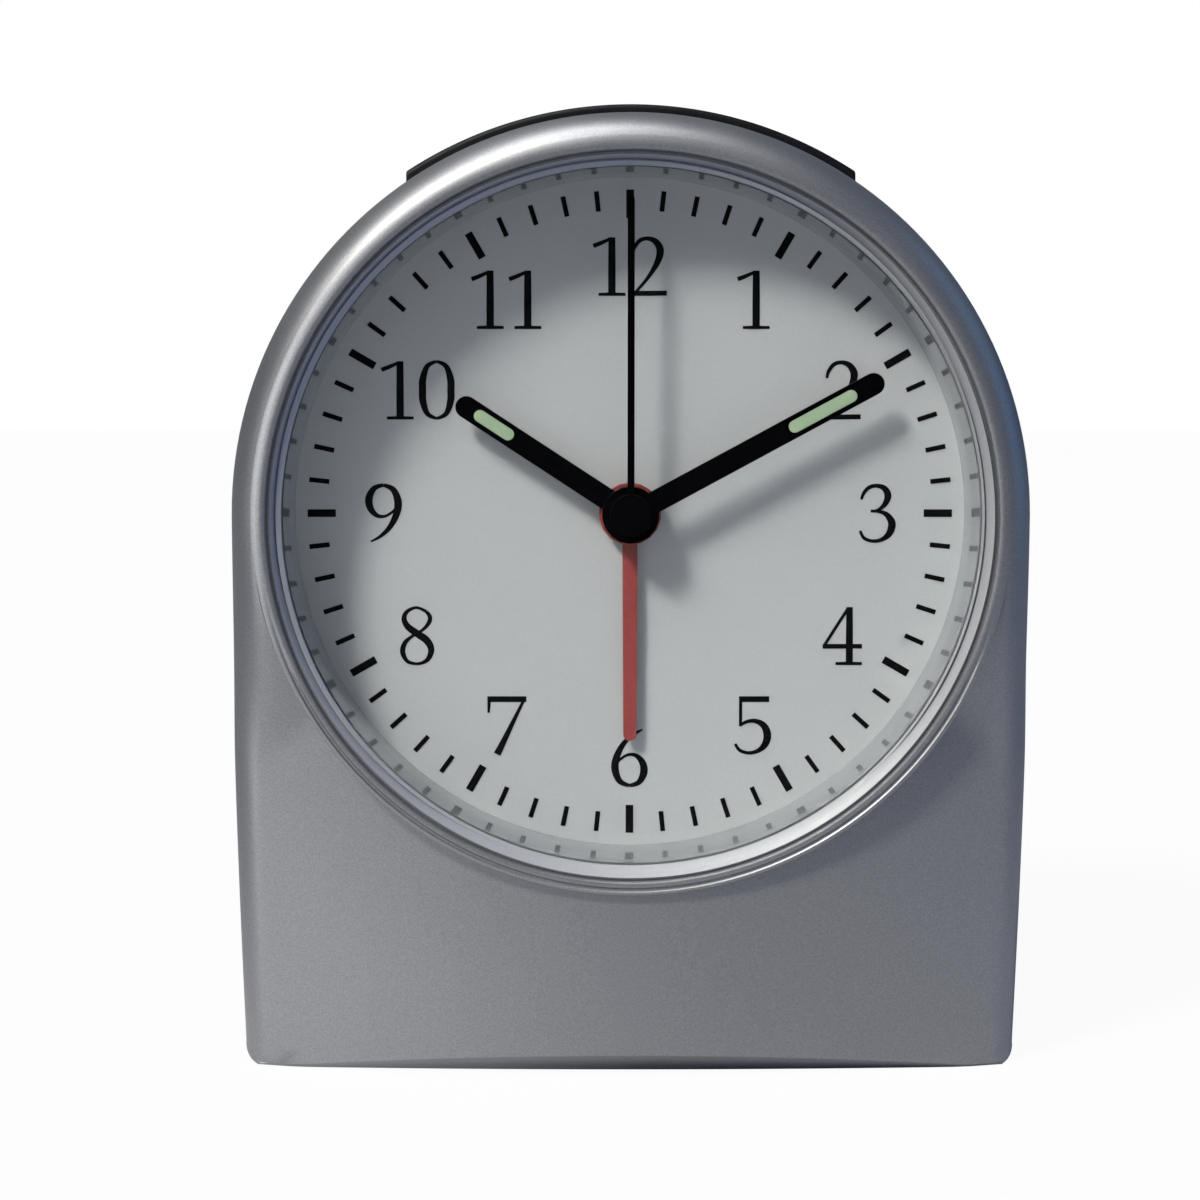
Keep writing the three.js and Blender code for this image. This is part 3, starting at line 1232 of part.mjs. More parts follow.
function snoozeBar() {
  const half = SNOOZE_HALF_WIDTH - SNOOZE_EDGE;
  const outer = snoozeOuter - SNOOZE_EDGE;
  const inner = snoozeInner + SNOOZE_EDGE;
  const topAngle = Math.asin(half / outer);
  const lowAngle = Math.asin(half / inner);
  const shape = new THREE.Shape();
  shape.absarc(0, AXIS_HEIGHT, outer, Math.PI / 2 - topAngle, Math.PI / 2 + topAngle);
  shape.absarc(0, AXIS_HEIGHT, inner, Math.PI / 2 + lowAngle, Math.PI / 2 - lowAngle, true);
  const settings = {
    depth: SNOOZE_DEPTH - 2 * SNOOZE_EDGE,
    bevelSize: SNOOZE_EDGE,
    bevelThickness: SNOOZE_EDGE,
    bevelSegments: 2,
    curveSegments: ARCH_STEPS / 2,
  };
  const bar = new THREE.ExtrudeGeometry(shape, settings);
  bar.rotateX(Math.PI / 2).translate(0, SNOOZE_FRONT + SNOOZE_DEPTH - SNOOZE_EDGE, 0);
  const reach = SNOOZE_HALF_WIDTH + HOOK_REACH;
  const hookTop = up(Math.sqrt((ARCH_RADIUS - WALL) ** 2 - reach ** 2) - FIT);
  const barFoot = up(Math.sqrt(snoozeInner ** 2 - SNOOZE_HALF_WIDTH ** 2));
  const hookFront = Math.max(snoozeMiddle, DIAL_BACK + FIT + HOOK_THICKNESS);
  const hooks = mirrored.map((side) => {
    const profile = [
      [SNOOZE_HALF_WIDTH - HOOK_WIDTH, hookTop - HOOK_THICKNESS],
      [reach, hookTop - HOOK_THICKNESS],
      [reach, hookTop],
      [SNOOZE_HALF_WIDTH, hookTop],
      [SNOOZE_HALF_WIDTH, barFoot + 2 * SNOOZE_EDGE + FIT],
      [SNOOZE_HALF_WIDTH - HOOK_WIDTH, barFoot + 2 * SNOOZE_EDGE + FIT],
    ].map(([x, z]) => new THREE.Vector2(side * x, z));
    return plate(new THREE.Shape(profile), hookFront, hookFront + HOOK_DEPTH);
  });
  const stemLow = switchBottom + SWITCH_HEIGHT - FIT;
  const stemHigh = up(snoozeInner + SNOOZE_EDGE);
  const radius = SNOOZE_STEM_RADIUS;
  const post = new THREE.CylinderGeometry(radius, radius, stemHigh - stemLow, SMALL_ROUND);
  post.rotateX(Math.PI / 2).translate(0, snoozeMiddle, (stemLow + stemHigh) / 2);
  return join(bar, ...hooks, post);
}

// A push switch on top of the movement; the bar's stem enters it.
function snoozeSwitch() {
  const half = SWITCH_SIZE / 2;
  const top = switchBottom + SWITCH_HEIGHT;
  const body = box(-half, half, snoozeMiddle - half, snoozeMiddle + half, switchBottom, top);
  const radius = SNOOZE_STEM_RADIUS + FIT;
  const depth = SNOOZE_TRAVEL + 2 * FIT;
  const way = new THREE.CylinderGeometry(radius, radius, depth + OVERLAP, SMALL_ROUND);
  way.rotateX(Math.PI / 2).translate(0, snoozeMiddle, top - depth + (depth + OVERLAP) / 2);
  return cut(body, way);
}

// Assembly

function finish(colour, roughness, metalness = 0) {
  return { color: colour, roughness, metalness };
}
const SILVER = finish(0x9a9ca0, 0.35, 0.6);
const DARK_GREY = finish(0x3a3c40, 0.55);
const BLACK = finish(0x101012, 0.4);
const CLEAR = finish(0xeef2f4, 0.05);
const DIAL_GREY = finish(0xd4d8da, 0.6);
const RED = finish(0xc23a34, 0.45);
const LUMINOUS = finish(0xbfd9a6, 0.7);
const WHITE_PLASTIC = finish(0xe6e4dc, 0.5);
const YELLOW_PLASTIC = finish(0xd8cfa0, 0.5);
const STEEL = finish(0xb8babd, 0.3, 1);
const COPPER = finish(0xa8602c, 0.35, 1);
const FERRITE = finish(0x2c2a2a, 0.7);
const GREEN_BOARD = finish(0x1f5a34, 0.5);
const BRASS = finish(0xc2a04a, 0.3, 1);
const CELL_SKIN = finish(0x2b4a3c, 0.35, 0.3);

const clock = new THREE.Group();
clock.position.y = -OVERALL_DEPTH / 2;

function piece(name, geometry, look, parent = clock) {
  const mesh = new THREE.Mesh(geometry, new THREE.MeshStandardMaterial(look));
  mesh.name = name;
  parent.add(mesh);
  return mesh;
}

// A group about an axis given from the dial centre, turned clockwise as seen from the front.
function onAxis({ x, z }, degrees = 0) {
  const group = new THREE.Group();
  group.position.set(x, 0, up(z));
  group.rotation.y = radians(degrees);
  clock.add(group);
  return group;
}

piece("front_case", frontCase(), SILVER);
piece("back_cover", backCover(), DARK_GREY);
piece("lens", disc(LENS_RADIUS, BEVEL_DEPTH, LENS_BACK), CLEAR);
piece("dial_ring", dialRing(), SILVER);
piece("dial", dial(), DIAL_GREY);

const hourHand = onAxis(centre, HOUR_ANGLE);
piece("hour_hand", lumeHand(HOUR_LENGTH, hourPipe, HOUR_LUME, HOUR_LEVEL), BLACK, hourHand);
piece("hour_lume", lume(HOUR_LUME, HOUR_LEVEL), LUMINOUS, hourHand);
const minuteHand = onAxis(centre, MINUTE_ANGLE);
piece("minute_hand", lumeHand(MINUTE_LENGTH, minutePipe, MINUTE_LUME, MINUTE_LEVEL), BLACK, minuteHand);
piece("minute_lume", lume(MINUTE_LUME, MINUTE_LEVEL), LUMINOUS, minuteHand);
piece("second_hand", secondHand(), BLACK, onAxis(centre));
const alarmBlade = hand(ALARM_LENGTH, ALARM_WIDTH, ALARM_TIP_WIDTH, ALARM_HUB_RADIUS, alarmPipe, ALARM_LEVEL);
piece("alarm_hand", alarmBlade, RED, onAxis(centre, ALARM_ANGLE));

const hourWheel = wheelOnPipe(HOUR_TEETH, MOTION_DIRECTION, HOUR_LAYER, hourPipe, HOUR_LEVEL.hubFront);
const alarmWheel = wheelOnPipe(ALARM_TEETH, STEM_DIRECTION, ALARM_LAYER, alarmPipe, ALARM_LEVEL.hubFront);
const minuteDriveWheel = driveWheel(
  MINUTE_DRIVE_PINION_TEETH,
  MINUTE_DRIVE_DIRECTION,
  MINUTE_LAYER,
  MINUTE_DRIVE_TEETH,
  MINUTE_ROTOR_DIRECTION,
  MINUTE_DRIVE_LAYER,
);
const secondsDriveWheel = driveWheel(
  SECONDS_DRIVE_PINION_TEETH,
  SECONDS_DRIVE_DIRECTION,
  SECONDS_LAYER,
  SECONDS_DRIVE_TEETH,
  SECONDS_ROTOR_DIRECTION,
  SECONDS_DRIVE_LAYER,
);
const minuteRotorBody = rotor(MINUTE_ROTOR_TEETH, MINUTE_ROTOR_DIRECTION, MINUTE_DRIVE_LAYER, MINUTE_MAGNET);
const secondsRotorBody = rotor(
  SECONDS_ROTOR_TEETH,
  SECONDS_ROTOR_DIRECTION,
  SECONDS_DRIVE_LAYER,
  SECONDS_MAGNET,
);
piece("hour_wheel", hourWheel, WHITE_PLASTIC, onAxis(centre));
piece("minute_wheel", minuteWheel(), WHITE_PLASTIC, onAxis(centre));
piece("seconds_wheel", secondsWheel(), WHITE_PLASTIC, onAxis(centre));
piece("alarm_wheel", alarmWheel, YELLOW_PLASTIC, onAxis(centre));
piece("motion_wheel", motionWheel(), YELLOW_PLASTIC, onAxis(motion));
piece("minute_drive_wheel", minuteDriveWheel, WHITE_PLASTIC, onAxis(minuteDrive));
piece("minute_rotor", minuteRotorBody, FERRITE, onAxis(minuteRotor));
piece("seconds_drive_wheel", secondsDriveWheel, WHITE_PLASTIC, onAxis(secondsDrive));
piece("seconds_rotor", secondsRotorBody, FERRITE, onAxis(secondsRotor));
piece("alarm_stem", alarmStem(), WHITE_PLASTIC, onAxis(stem));
piece("alarm_knob", alarmKnob(), BLACK, onAxis(stem));

piece("movement_housing", movementHousing(), WHITE_PLASTIC);
piece("movement_rear_plate", rearPlate(), WHITE_PLASTIC);
stators.forEach(({ name, axis, front }) => {
  piece(`${name}_stator`, stator(axis, front), STEEL);
  piece(`${name}_coil`, coil(axis, front), COPPER);
});
piece("circuit_board", circuitBoard(), GREEN_BOARD);
piece("control_chip", controlChip(), BLACK);
piece("quartz_crystal", quartzCrystal(), STEEL);
piece("antenna_rod", antennaRod(), FERRITE);
piece("antenna_coil", antennaCoil(), COPPER);
piece("buzzer", buzzer(), BRASS);

Object.entries(BUTTON_Z).forEach(([name, z]) => {
  piece(name, button(z), BLACK);
  piece(name.replace("button", "key_switch"), keySwitch(z), BLACK);
});
piece("alarm_slider", alarmSlider(), BLACK);
piece("alarm_switch_base", alarmSwitchBase(), BLACK);
piece("snooze_bar", snoozeBar(), BLACK);
piece("snooze_switch", snoozeSwitch(), BLACK);

piece("battery_door", batteryDoor(), DARK_GREY);
piece("battery", battery(), CELL_SKIN);
piece("positive_contact", positiveContact(), STEEL);
piece("negative_contact", negativeContact(), STEEL);

screwPosts.forEach(([x, z], n) => {
  const body = screw(x, z, screwSeat, SCREW_SHANK, SCREW_HEAD, SCREW_HEAD_HEIGHT, SCREW_LENGTH);
  piece(`case_screw_${n + 1}`, body, STEEL);
});
mirrored.forEach((side, n) => {
  const [x, z] = [side * EAR_X, up(EAR_Z)];
  const body = screw(x, z, PLATE_BACK, EAR_SCREW_SHANK, EAR_SCREW_HEAD, PLATE_THICKNESS, EAR_SCREW_LENGTH);
  piece(`movement_screw_${n + 1}`, body, STEEL);
});

export default clock;
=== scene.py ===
import json
import math

import bmesh
import bpy
from mathutils import Matrix, Vector

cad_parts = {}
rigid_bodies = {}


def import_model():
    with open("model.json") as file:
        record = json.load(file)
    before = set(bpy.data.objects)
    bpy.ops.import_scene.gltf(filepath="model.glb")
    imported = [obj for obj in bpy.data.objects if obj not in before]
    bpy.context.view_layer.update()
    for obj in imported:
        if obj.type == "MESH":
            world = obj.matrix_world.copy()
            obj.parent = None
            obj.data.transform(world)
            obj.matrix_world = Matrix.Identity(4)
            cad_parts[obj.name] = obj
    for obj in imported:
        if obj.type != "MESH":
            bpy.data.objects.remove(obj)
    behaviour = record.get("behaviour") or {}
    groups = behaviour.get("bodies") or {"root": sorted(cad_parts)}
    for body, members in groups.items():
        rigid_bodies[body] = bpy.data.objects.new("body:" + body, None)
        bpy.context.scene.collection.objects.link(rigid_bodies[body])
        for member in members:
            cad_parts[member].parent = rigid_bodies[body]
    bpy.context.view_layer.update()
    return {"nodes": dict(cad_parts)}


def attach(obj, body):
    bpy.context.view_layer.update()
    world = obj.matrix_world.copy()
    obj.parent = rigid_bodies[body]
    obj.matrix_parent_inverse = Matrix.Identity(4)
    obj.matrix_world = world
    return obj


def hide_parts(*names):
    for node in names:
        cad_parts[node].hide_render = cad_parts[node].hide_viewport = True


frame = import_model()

MM = 0.001
DEPTH_SHIFT = 26.95  # the origin lies this far behind the lip of the window
AXIS_HEIGHT = 68.0

# Sizes in millimetres. Most are those of the solids; the bead, the face's edges, the undercut, the foot and the
# snooze bar are fitted closer to the photo.
ARCH_RADIUS = 49.0
BASE_HALF_WIDTH = 48.0
TAPER_START = 45.0
TAPER_BEND = 30.0
CORNER_RADIUS = 2.0
MIN_CORNER = 1.4
BODY_DEPTH = 40.0
WALL = 2.2
LIP_PROUD = 1.0
BULGE_DIAL = 2.5
BULGE_BASE = 6.5
EDGE_WIDTH = 3.4
EDGE_DEPTH = 5.0
RIM_DEPTH = 7.0
RIM_FULLNESS = 2.15
FACE_RAMP = 9.0
BASE_EDGE = 0.4
UNDERCUT_HEIGHT = 2.4
UNDERCUT_DEPTH = 3.4
UNDERCUT_HALF_WIDTH = 41.0
WINDOW_RADIUS = 42.1
BEVEL_DEPTH = 1.8
BEVEL_WIDTH = 1.3
LIP_EDGE = 0.45
CREST_RADIUS = 44.3
LIP_FOOT_RADIUS = 45.7
LENS_RADIUS = 43.2
LENS_FRONT = 1.83
LENS_BACK = 3.3
LENS_CHAMFER = 0.25
LENS_PINHOLE = 0.0005
SLEEVE_INNER = 43.5
SLEEVE_OUTER = 45.1
DIAL_DEPTH = 11.0
DIAL_BACK = 12.0
RING_DRAFT = 0.7
RING_GAP = 0.01
SNOOZE_HALF_WIDTH = 27.4
SNOOZE_PROUD = 1.1
SNOOZE_FRONT = 8.0
SNOOZE_DEPTH = 16.0
SNOOZE_INNER = 46.9
SNOOZE_SOFT = 0.6
SNOOZE_END_SOFT = 0.35
FIT = 0.3

# Rings of the lens seat, from the window outwards: how far past the window towards four and towards ten, then the
# depth in the groove and the depth at six, where there is no groove.
SEAT_RINGS = (
    (0.08, 0.05, 1.50, 1.62),
    (0.16, 0.64, 1.25, 1.52),
    (0.20, 0.70, 1.27, 1.47),
    (0.24, 0.75, 1.74, 1.42),
    (0.36, 0.87, 1.74, 1.28),
    (0.40, 0.91, 1.56, 1.23),
    (0.76, 1.02, 1.10, 0.86),
    (0.84, 1.07, 0.98, 0.80),
)
GROOVE_FARTHEST_HOUR = 10.4
GROOVE_DEEPEST_HOUR = 11.7
# The bevel turns here before it ends: how far past the window, and its depth.
BEVEL_TURN, BEVEL_TURN_DEPTH = 1.22, 0.53
# Rings of the lip: radius, depth below the dial, and depth on the arch, or None where the bead gives it.
LIP_RINGS = (
    (43.46, 0.85, 0.85),
    (43.72, 0.85, 0.85),
    (43.84, 0.30, 0.34),
    (44.02, 0.06, 0.10),
    (CREST_RADIUS, 0.0, 0.01),
    (44.5, 0.02, None),
    (44.62, 0.14, None),
    (44.72, 0.26, None),
    (44.9, 0.26, None),
    (45.0, 0.12, None),
    (45.12, 0.06, None),
    (45.4, 0.10, None),
    (45.55, 0.24, None),
)
# Rings of the face, as shares of the way from the lip's foot to the edge.
FACE_SHARES = (0, 0.02, 0.05, 0.1, 0.17, 0.26, 0.36, 0.48, 0.6, 0.72, 0.84, 0.93)
EDGE_STEPS = 10
SIDE_DEPTHS = (14.0, 20.0, 30.0)
BACK_EDGE = 0.25

# Fineness of the case's outline.
BASE_STEPS, CORNER_STEPS, SIDE_STEPS, UPRIGHT_STEPS, ARCH_STEPS = 22, 6, 20, 34, 46


def place(x, depth, z):
    """Metres in the frame of a point given in millimetres, with its depth behind the lip."""
    return Vector((x * MM, (depth - DEPTH_SHIFT) * MM, z * MM))


def mix(a, b, share):
    return a + (b - a) * share


def clamp(value):
    return min(max(value, 0.0), 1.0)


def smoothstep(value, low, high):
    t = clamp((value - low) / (high - low))
    return t * t * (3 - 2 * t)


# Working with objects and edit mode


def deselect_all():
    if bpy.context.mode != "OBJECT":
        bpy.ops.object.mode_set(mode="OBJECT")
    for obj in bpy.context.view_layer.objects:
        obj.select_set(False)


def make_active(obj):
    deselect_all()
    obj.select_set(True)
    bpy.context.view_layer.objects.active = obj


def start(add, **settings):
    """Adds a primitive with nothing else selected and returns it."""
    deselect_all()
    add(**settings)
    return bpy.context.active_object


def apply_all(obj):
    make_active(obj)
    bpy.ops.object.transform_apply(location=True, rotation=True, scale=True)


def apply_modifier(obj, kind, **settings):
    make_active(obj)
    modifier = obj.modifiers.new(kind.title(), kind)
    for key, value in settings.items():
        setattr(modifier, key, value)
    bpy.ops.object.modifier_apply(modifier=modifier.name)


def smooth(obj, degrees=35):
    make_active(obj)
    bpy.ops.object.shade_smooth_by_angle(angle=math.radians(degrees))


def clean(obj):
    """Merges doubles and turns the faces outwards."""
    make_active(obj)
    bpy.ops.object.mode_set(mode="EDIT")
    bpy.ops.mesh.select_all(action="SELECT")
    bpy.ops.mesh.remove_doubles(threshold=1e-7)
    bpy.ops.mesh.normals_make_consistent(inside=False)
    bpy.ops.object.mode_set(mode="OBJECT")


def join_all(objects):
    deselect_all()
    for obj in objects:
        obj.select_set(True)
    bpy.context.view_layer.objects.active = objects[0]
    bpy.ops.object.join()
    return bpy.context.active_object


def cut_with(obj, tool):
    apply_modifier(obj, "BOOLEAN", operation="DIFFERENCE", solver="EXACT", object=tool)
    make_active(tool)
    bpy.ops.object.delete()


def finished(obj, name, body, slot, material, *nodes):
    """Names a piece, gives it its material and hangs it on its body."""
    obj.name = name
    obj.data.name = name
    obj.data.materials.clear()
    obj.data.materials.append(material)
    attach(obj, body)
    if nodes:
        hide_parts(*nodes)


def loft(rings):
    """A ring of edges, extruded from outline to outline and back to the first."""
    count = len(rings[0])
    obj = start(bpy.ops.mesh.primitive_circle_add, vertices=count, radius=ARCH_RADIUS * MM)
    bpy.ops.object.mode_set(mode="EDIT")
    shape = bmesh.from_edit_mesh(obj.data)
    order = shape.verts.layers.int.new("order")
    shape.verts.ensure_lookup_table()
    for number, vert in enumerate(shape.verts):
        vert[order] = number
        vert.co = rings[0][number]
    bmesh.update_edit_mesh(obj.data)
    bpy.ops.mesh.select_all(action="SELECT")
    for ring in rings[1:] + rings[:1]:
        bpy.ops.mesh.extrude_region_move()
        shape = bmesh.from_edit_mesh(obj.data)
        order = shape.verts.layers.int["order"]
        for vert in shape.verts:
            if vert.select:
                vert.co = ring[vert[order]]
        bmesh.update_edit_mesh(obj.data)
    bpy.ops.object.mode_set(mode="OBJECT")
    clean(obj)
    return obj


def turned(profile, steps=192):
    """A closed profile of (radius, depth) spun about the dial's axis."""
    obj = start(bpy.ops.mesh.primitive_circle_add, vertices=len(profile), radius=MM)
    bpy.ops.object.mode_set(mode="EDIT")
    shape = bmesh.from_edit_mesh(obj.data)
    shape.verts.ensure_lookup_table()
    for vert, (radius, depth) in zip(shape.verts, profile):
        vert.co = place(radius, depth, AXIS_HEIGHT)
    bmesh.update_edit_mesh(obj.data)
    bpy.ops.mesh.select_all(action="SELECT")
    bpy.ops.mesh.spin(
        steps=steps, angle=2 * math.pi, center=place(0, 0, AXIS_HEIGHT), axis=(0, 1, 0), use_auto_merge=True
    )
    bpy.ops.object.mode_set(mode="OBJECT")
    clean(obj)
    return obj


def block(left, right, front, back, bottom, top):
    middle = place((left + right) / 2, (front + back) / 2, (bottom + top) / 2)
    obj = start(bpy.ops.mesh.primitive_cube_add, size=1, location=middle)
    obj.scale = ((right - left) * MM, (back - front) * MM, (top - bottom) * MM)
    apply_all(obj)
    return obj


def dressed(node, bevel):
    """A copy of a node's solid with merged faces and softly broken edges."""
    source = frame["nodes"][node]
    obj = source.copy()
    obj.data = source.data.copy()
    bpy.context.scene.collection.objects.link(obj)
    obj.parent = None
    obj.matrix_world = source.matrix_world
    apply_all(obj)
    bpy.ops.object.mode_set(mode="EDIT")
    bpy.ops.mesh.select_all(action="SELECT")
    bpy.ops.mesh.remove_doubles(threshold=2e-6)
    bpy.ops.mesh.dissolve_limited(angle_limit=math.radians(0.5))
    bpy.ops.object.mode_set(mode="OBJECT")
    apply_modifier(
        obj,
        "BEVEL",
        width=bevel * MM,
        segments=2,
        limit_method="ANGLE",
        angle_limit=math.radians(32),
        use_clamp_overlap=True,
    )
    smooth(obj)
    apply_modifier(obj, "WEIGHTED_NORMAL", keep_sharp=True)
    return obj


# Materials


class Finish:
    """A node material with helpers for the patterns that its surface has."""

    def __init__(self, name, roughness=0.5, metallic=0.0):
        self.material = bpy.data.materials.new(name)
        self.material.use_nodes = True
        self.nodes = self.material.node_tree.nodes
        self.links = self.material.node_tree.links
        self.shader = self.nodes["Principled BSDF"]
        self.output = self.nodes["Material Output"]
        self.shader.inputs["Roughness"].default_value = roughness
        self.shader.inputs["Metallic"].default_value = metallic
        self.coords = self.nodes.new("ShaderNodeTexCoord")

    def add(self, kind, **settings):
        node = self.nodes.new(kind)
        for key, value in settings.items():
            if key in node.inputs:
                node.inputs[key].default_value = value
            else:
                setattr(node, key, value)
        return node

    def noise(self, size, detail=3.0):
        """Noise whose features are about `size` millimetres wide."""
        noise = self.add("ShaderNodeTexNoise", Scale=1 / (size * MM), Detail=detail)
        self.links.new(self.coords.outputs["Object"], noise.inputs["Vector"])
        return noise.outputs["Fac"]

    def colour_between(self, factor, dark, light, low=0.3, high=0.7):
        ramp = self.add("ShaderNodeValToRGB")
        ramp.color_ramp.elements[0].position = low
        ramp.color_ramp.elements[0].color = (*dark, 1)
        ramp.color_ramp.elements[1].position = high
        ramp.color_ramp.elements[1].color = (*light, 1)
        self.links.new(factor, ramp.inputs["Fac"])
        self.links.new(ramp.outputs["Color"], self.shader.inputs["Base Color"])

    def roughness_between(self, factor, low, high):
        spread = self.add("ShaderNodeMapRange")
        spread.inputs["From Min"].default_value = 0.3
        spread.inputs["From Max"].default_value = 0.7
        spread.inputs["To Min"].default_value = low
        spread.inputs["To Max"].default_value = high
        self.links.new(factor, spread.inputs["Value"])
        self.links.new(spread.outputs["Result"], self.shader.inputs["Roughness"])

    def bump(self, height, strength, distance):
        bump = self.add("ShaderNodeBump", Strength=strength, Distance=distance * MM)
        self.links.new(height, bump.inputs["Height"])
        self.links.new(bump.outputs["Normal"], self.shader.inputs["Normal"])


def grained(name, dark, light, size, rough, metallic=0.0, shine=0.5, bump=0.1):
    """A surface with a fine grain in colour, gloss and height."""
    finish = Finish(name, metallic=metallic)
    finish.shader.inputs["Specular IOR Level"].default_value = shine
    grain = finish.noise(size)
    finish.colour_between(grain, dark, light)
    finish.roughness_between(finish.noise(size * 6), *rough)
    finish.bump(finish.noise(size), bump, 0.05)
    return finish.material


def silver_paint():
    finish = Finish("silver_paint", metallic=0.74)
    flakes = finish.noise(0.22, detail=2)
    finish.colour_between(flakes, (0.268, 0.271, 0.282), (0.326, 0.329, 0.340), 0.35, 0.65)
    finish.roughness_between(finish.noise(9), 0.43, 0.47)
    finish.bump(finish.noise(0.3), 0.05, 0.03)
    return finish.material


def clear_plastic():
    """Clear plastic that lets the lamps' light through to the dial."""
    finish = Finish("clear_plastic", roughness=0.02)
    finish.shader.inputs["Base Color"].default_value = (0.97, 0.98, 0.985, 1)
    finish.shader.inputs["Transmission Weight"].default_value = 1.0
    finish.shader.inputs["IOR"].default_value = 1.07
    smear = finish.noise(14)
    finish.roughness_between(smear, 0.0, 0.02)
    light = finish.add("ShaderNodeLightPath")
    through = finish.add("ShaderNodeBsdfTransparent")
    both = finish.add("ShaderNodeMixShader")
    finish.links.new(light.outputs["Is Shadow Ray"], both.inputs["Fac"])
    finish.links.new(finish.shader.outputs["BSDF"], both.inputs[1])
    finish.links.new(through.outputs["BSDF"], both.inputs[2])
    finish.links.new(both.outputs["Shader"], finish.output.inputs["Surface"])
    return finish.material


WAVE_PERIOD = 6.28 / 20


def wound_wire(name, dark, light, pitch, direction):
    """Enamelled wire wound in fine turns along one direction. The texture's bands are WAVE_PERIOD wide at scale 1."""
    finish = Finish(name, metallic=0.9)
    wave = finish.add("ShaderNodeTexWave", bands_direction=direction, Scale=WAVE_PERIOD / (pitch * MM))
    finish.links.new(finish.coords.outputs["Object"], wave.inputs["Vector"])
    finish.colour_between(wave.outputs["Fac"], dark, light, 0.1, 0.9)
    finish.roughness_between(finish.noise(2), 0.28, 0.42)
    finish.bump(wave.outputs["Fac"], 0.4, 0.1)
    return finish.material


SILVER = silver_paint()
CLEAR = clear_plastic()
RING_GLOSS = grained(
    "ring_gloss", (0.37, 0.39, 0.41), (0.41, 0.43, 0.45), 4, (0.09, 0.12), metallic=0.65, bump=0.01
)
BRIGHT_BEVEL = grained(
    "bright_bevel", (0.44, 0.45, 0.46), (0.48, 0.49, 0.50), 0.25, (0.48, 0.52), metallic=0.12, shine=0.4, bump=0.02
)
DIAL_PAPER = grained("dial_paper", (0.375, 0.391, 0.402), (0.405, 0.421, 0.432), 0.25, (0.5, 0.6), bump=0.04)
DIAL_INK = grained("dial_ink", (0.0015, 0.0015, 0.002), (0.003, 0.003, 0.004), 0.2, (0.55, 0.65), shine=0.05, bump=0.02)
BLACK_PAINT = grained(
    "black_paint", (0.0006, 0.0006, 0.0009), (0.0012, 0.0012, 0.0016), 0.25, (0.36, 0.44), shine=0.02, bump=0.02
)
RED_PAINT = grained("red_paint", (0.20, 0.026, 0.023), (0.24, 0.034, 0.030), 0.25, (0.4, 0.5), bump=0.05)
LUME = grained("lume", (0.24, 0.335, 0.215), (0.29, 0.39, 0.255), 0.2, (0.6, 0.75), bump=0.15)
BLACK_PLASTIC = grained(
    "black_plastic", (0.006, 0.006, 0.007), (0.013, 0.013, 0.015), 0.3, (0.4, 0.5), shine=0.12, bump=0.1
)
COVER_PLASTIC = grained("cover_plastic", (0.15, 0.153, 0.163), (0.19, 0.193, 0.204), 0.35, (0.5, 0.62), bump=0.3)
WHITE_PLASTIC = grained("white_plastic", (0.72, 0.71, 0.66), (0.80, 0.79, 0.74), 0.8, (0.4, 0.55), bump=0.08)
YELLOW_PLASTIC = grained("yellow_plastic", (0.62, 0.54, 0.28), (0.72, 0.63, 0.36), 0.8, (0.4, 0.55), bump=0.08)
STEEL = grained("bright_steel", (0.46, 0.47, 0.49), (0.58, 0.59, 0.61), 0.3, (0.22, 0.36), metallic=1.0, bump=0.05)
MAGNET = grained("sintered_magnet", (0.03, 0.03, 0.03), (0.06, 0.058, 0.056), 0.15, (0.5, 0.7), bump=0.2)
FERRITE = grained("ferrite", (0.022, 0.02, 0.02), (0.045, 0.042, 0.042), 0.2, (0.55, 0.75), bump=0.2)
BOARD = grained("green_board", (0.015, 0.075, 0.03), (0.03, 0.12, 0.05), 1.5, (0.35, 0.5), bump=0.1)
BRASS = grained("brass_disc", (0.50, 0.34, 0.10), (0.62, 0.44, 0.15), 0.5, (0.22, 0.34), metallic=1.0, bump=0.04)
CELL = grained("cell_sleeve", (0.02, 0.06, 0.04), (0.035, 0.085, 0.06), 2, (0.25, 0.36), metallic=0.2, bump=0.02)
COIL_WIRE = wound_wire("wound_wire", (0.28, 0.09, 0.03), (0.50, 0.20, 0.07), 0.4, "X")

node_materials = {
    "dial": DIAL_PAPER,
    "hour_wheel": WHITE_PLASTIC,
    "minute_wheel": WHITE_PLASTIC,
    "seconds_wheel": WHITE_PLASTIC,
    "alarm_wheel": YELLOW_PLASTIC,
    "motion_wheel": YELLOW_PLASTIC,
    "minute_drive_wheel": WHITE_PLASTIC,
    "seconds_drive_wheel": WHITE_PLASTIC,
    "alarm_stem": WHITE_PLASTIC,
    "movement_housing": WHITE_PLASTIC,
    "movement_rear_plate": WHITE_PLASTIC,
    "minute_rotor": MAGNET,
    "seconds_rotor": MAGNET,
    "minute_stator": STEEL,
    "seconds_stator": STEEL,
    "minute_coil": COIL_WIRE,
    "seconds_coil": COIL_WIRE,
    "antenna_coil": COIL_WIRE,
    "antenna_rod": FERRITE,
    "circuit_board": BOARD,
    "control_chip": BLACK_PLASTIC,
    "quartz_crystal": STEEL,
    "set_key_switch": BLACK_PLASTIC,
    "wave_key_switch": BLACK_PLASTIC,
    "reset_key_switch": BLACK_PLASTIC,
    "alarm_switch_base": BLACK_PLASTIC,
    "snooze_switch": BLACK_PLASTIC,
    "buzzer": BRASS,
    "positive_contact": STEEL,
    "negative_contact": STEEL,
    "movement_screw_1": STEEL,
    "movement_screw_2": STEEL,
}
for node, material in node_materials.items():
    mesh = frame["nodes"][node].data
    mesh.materials.clear()
    mesh.materials.append(material)

# Front case


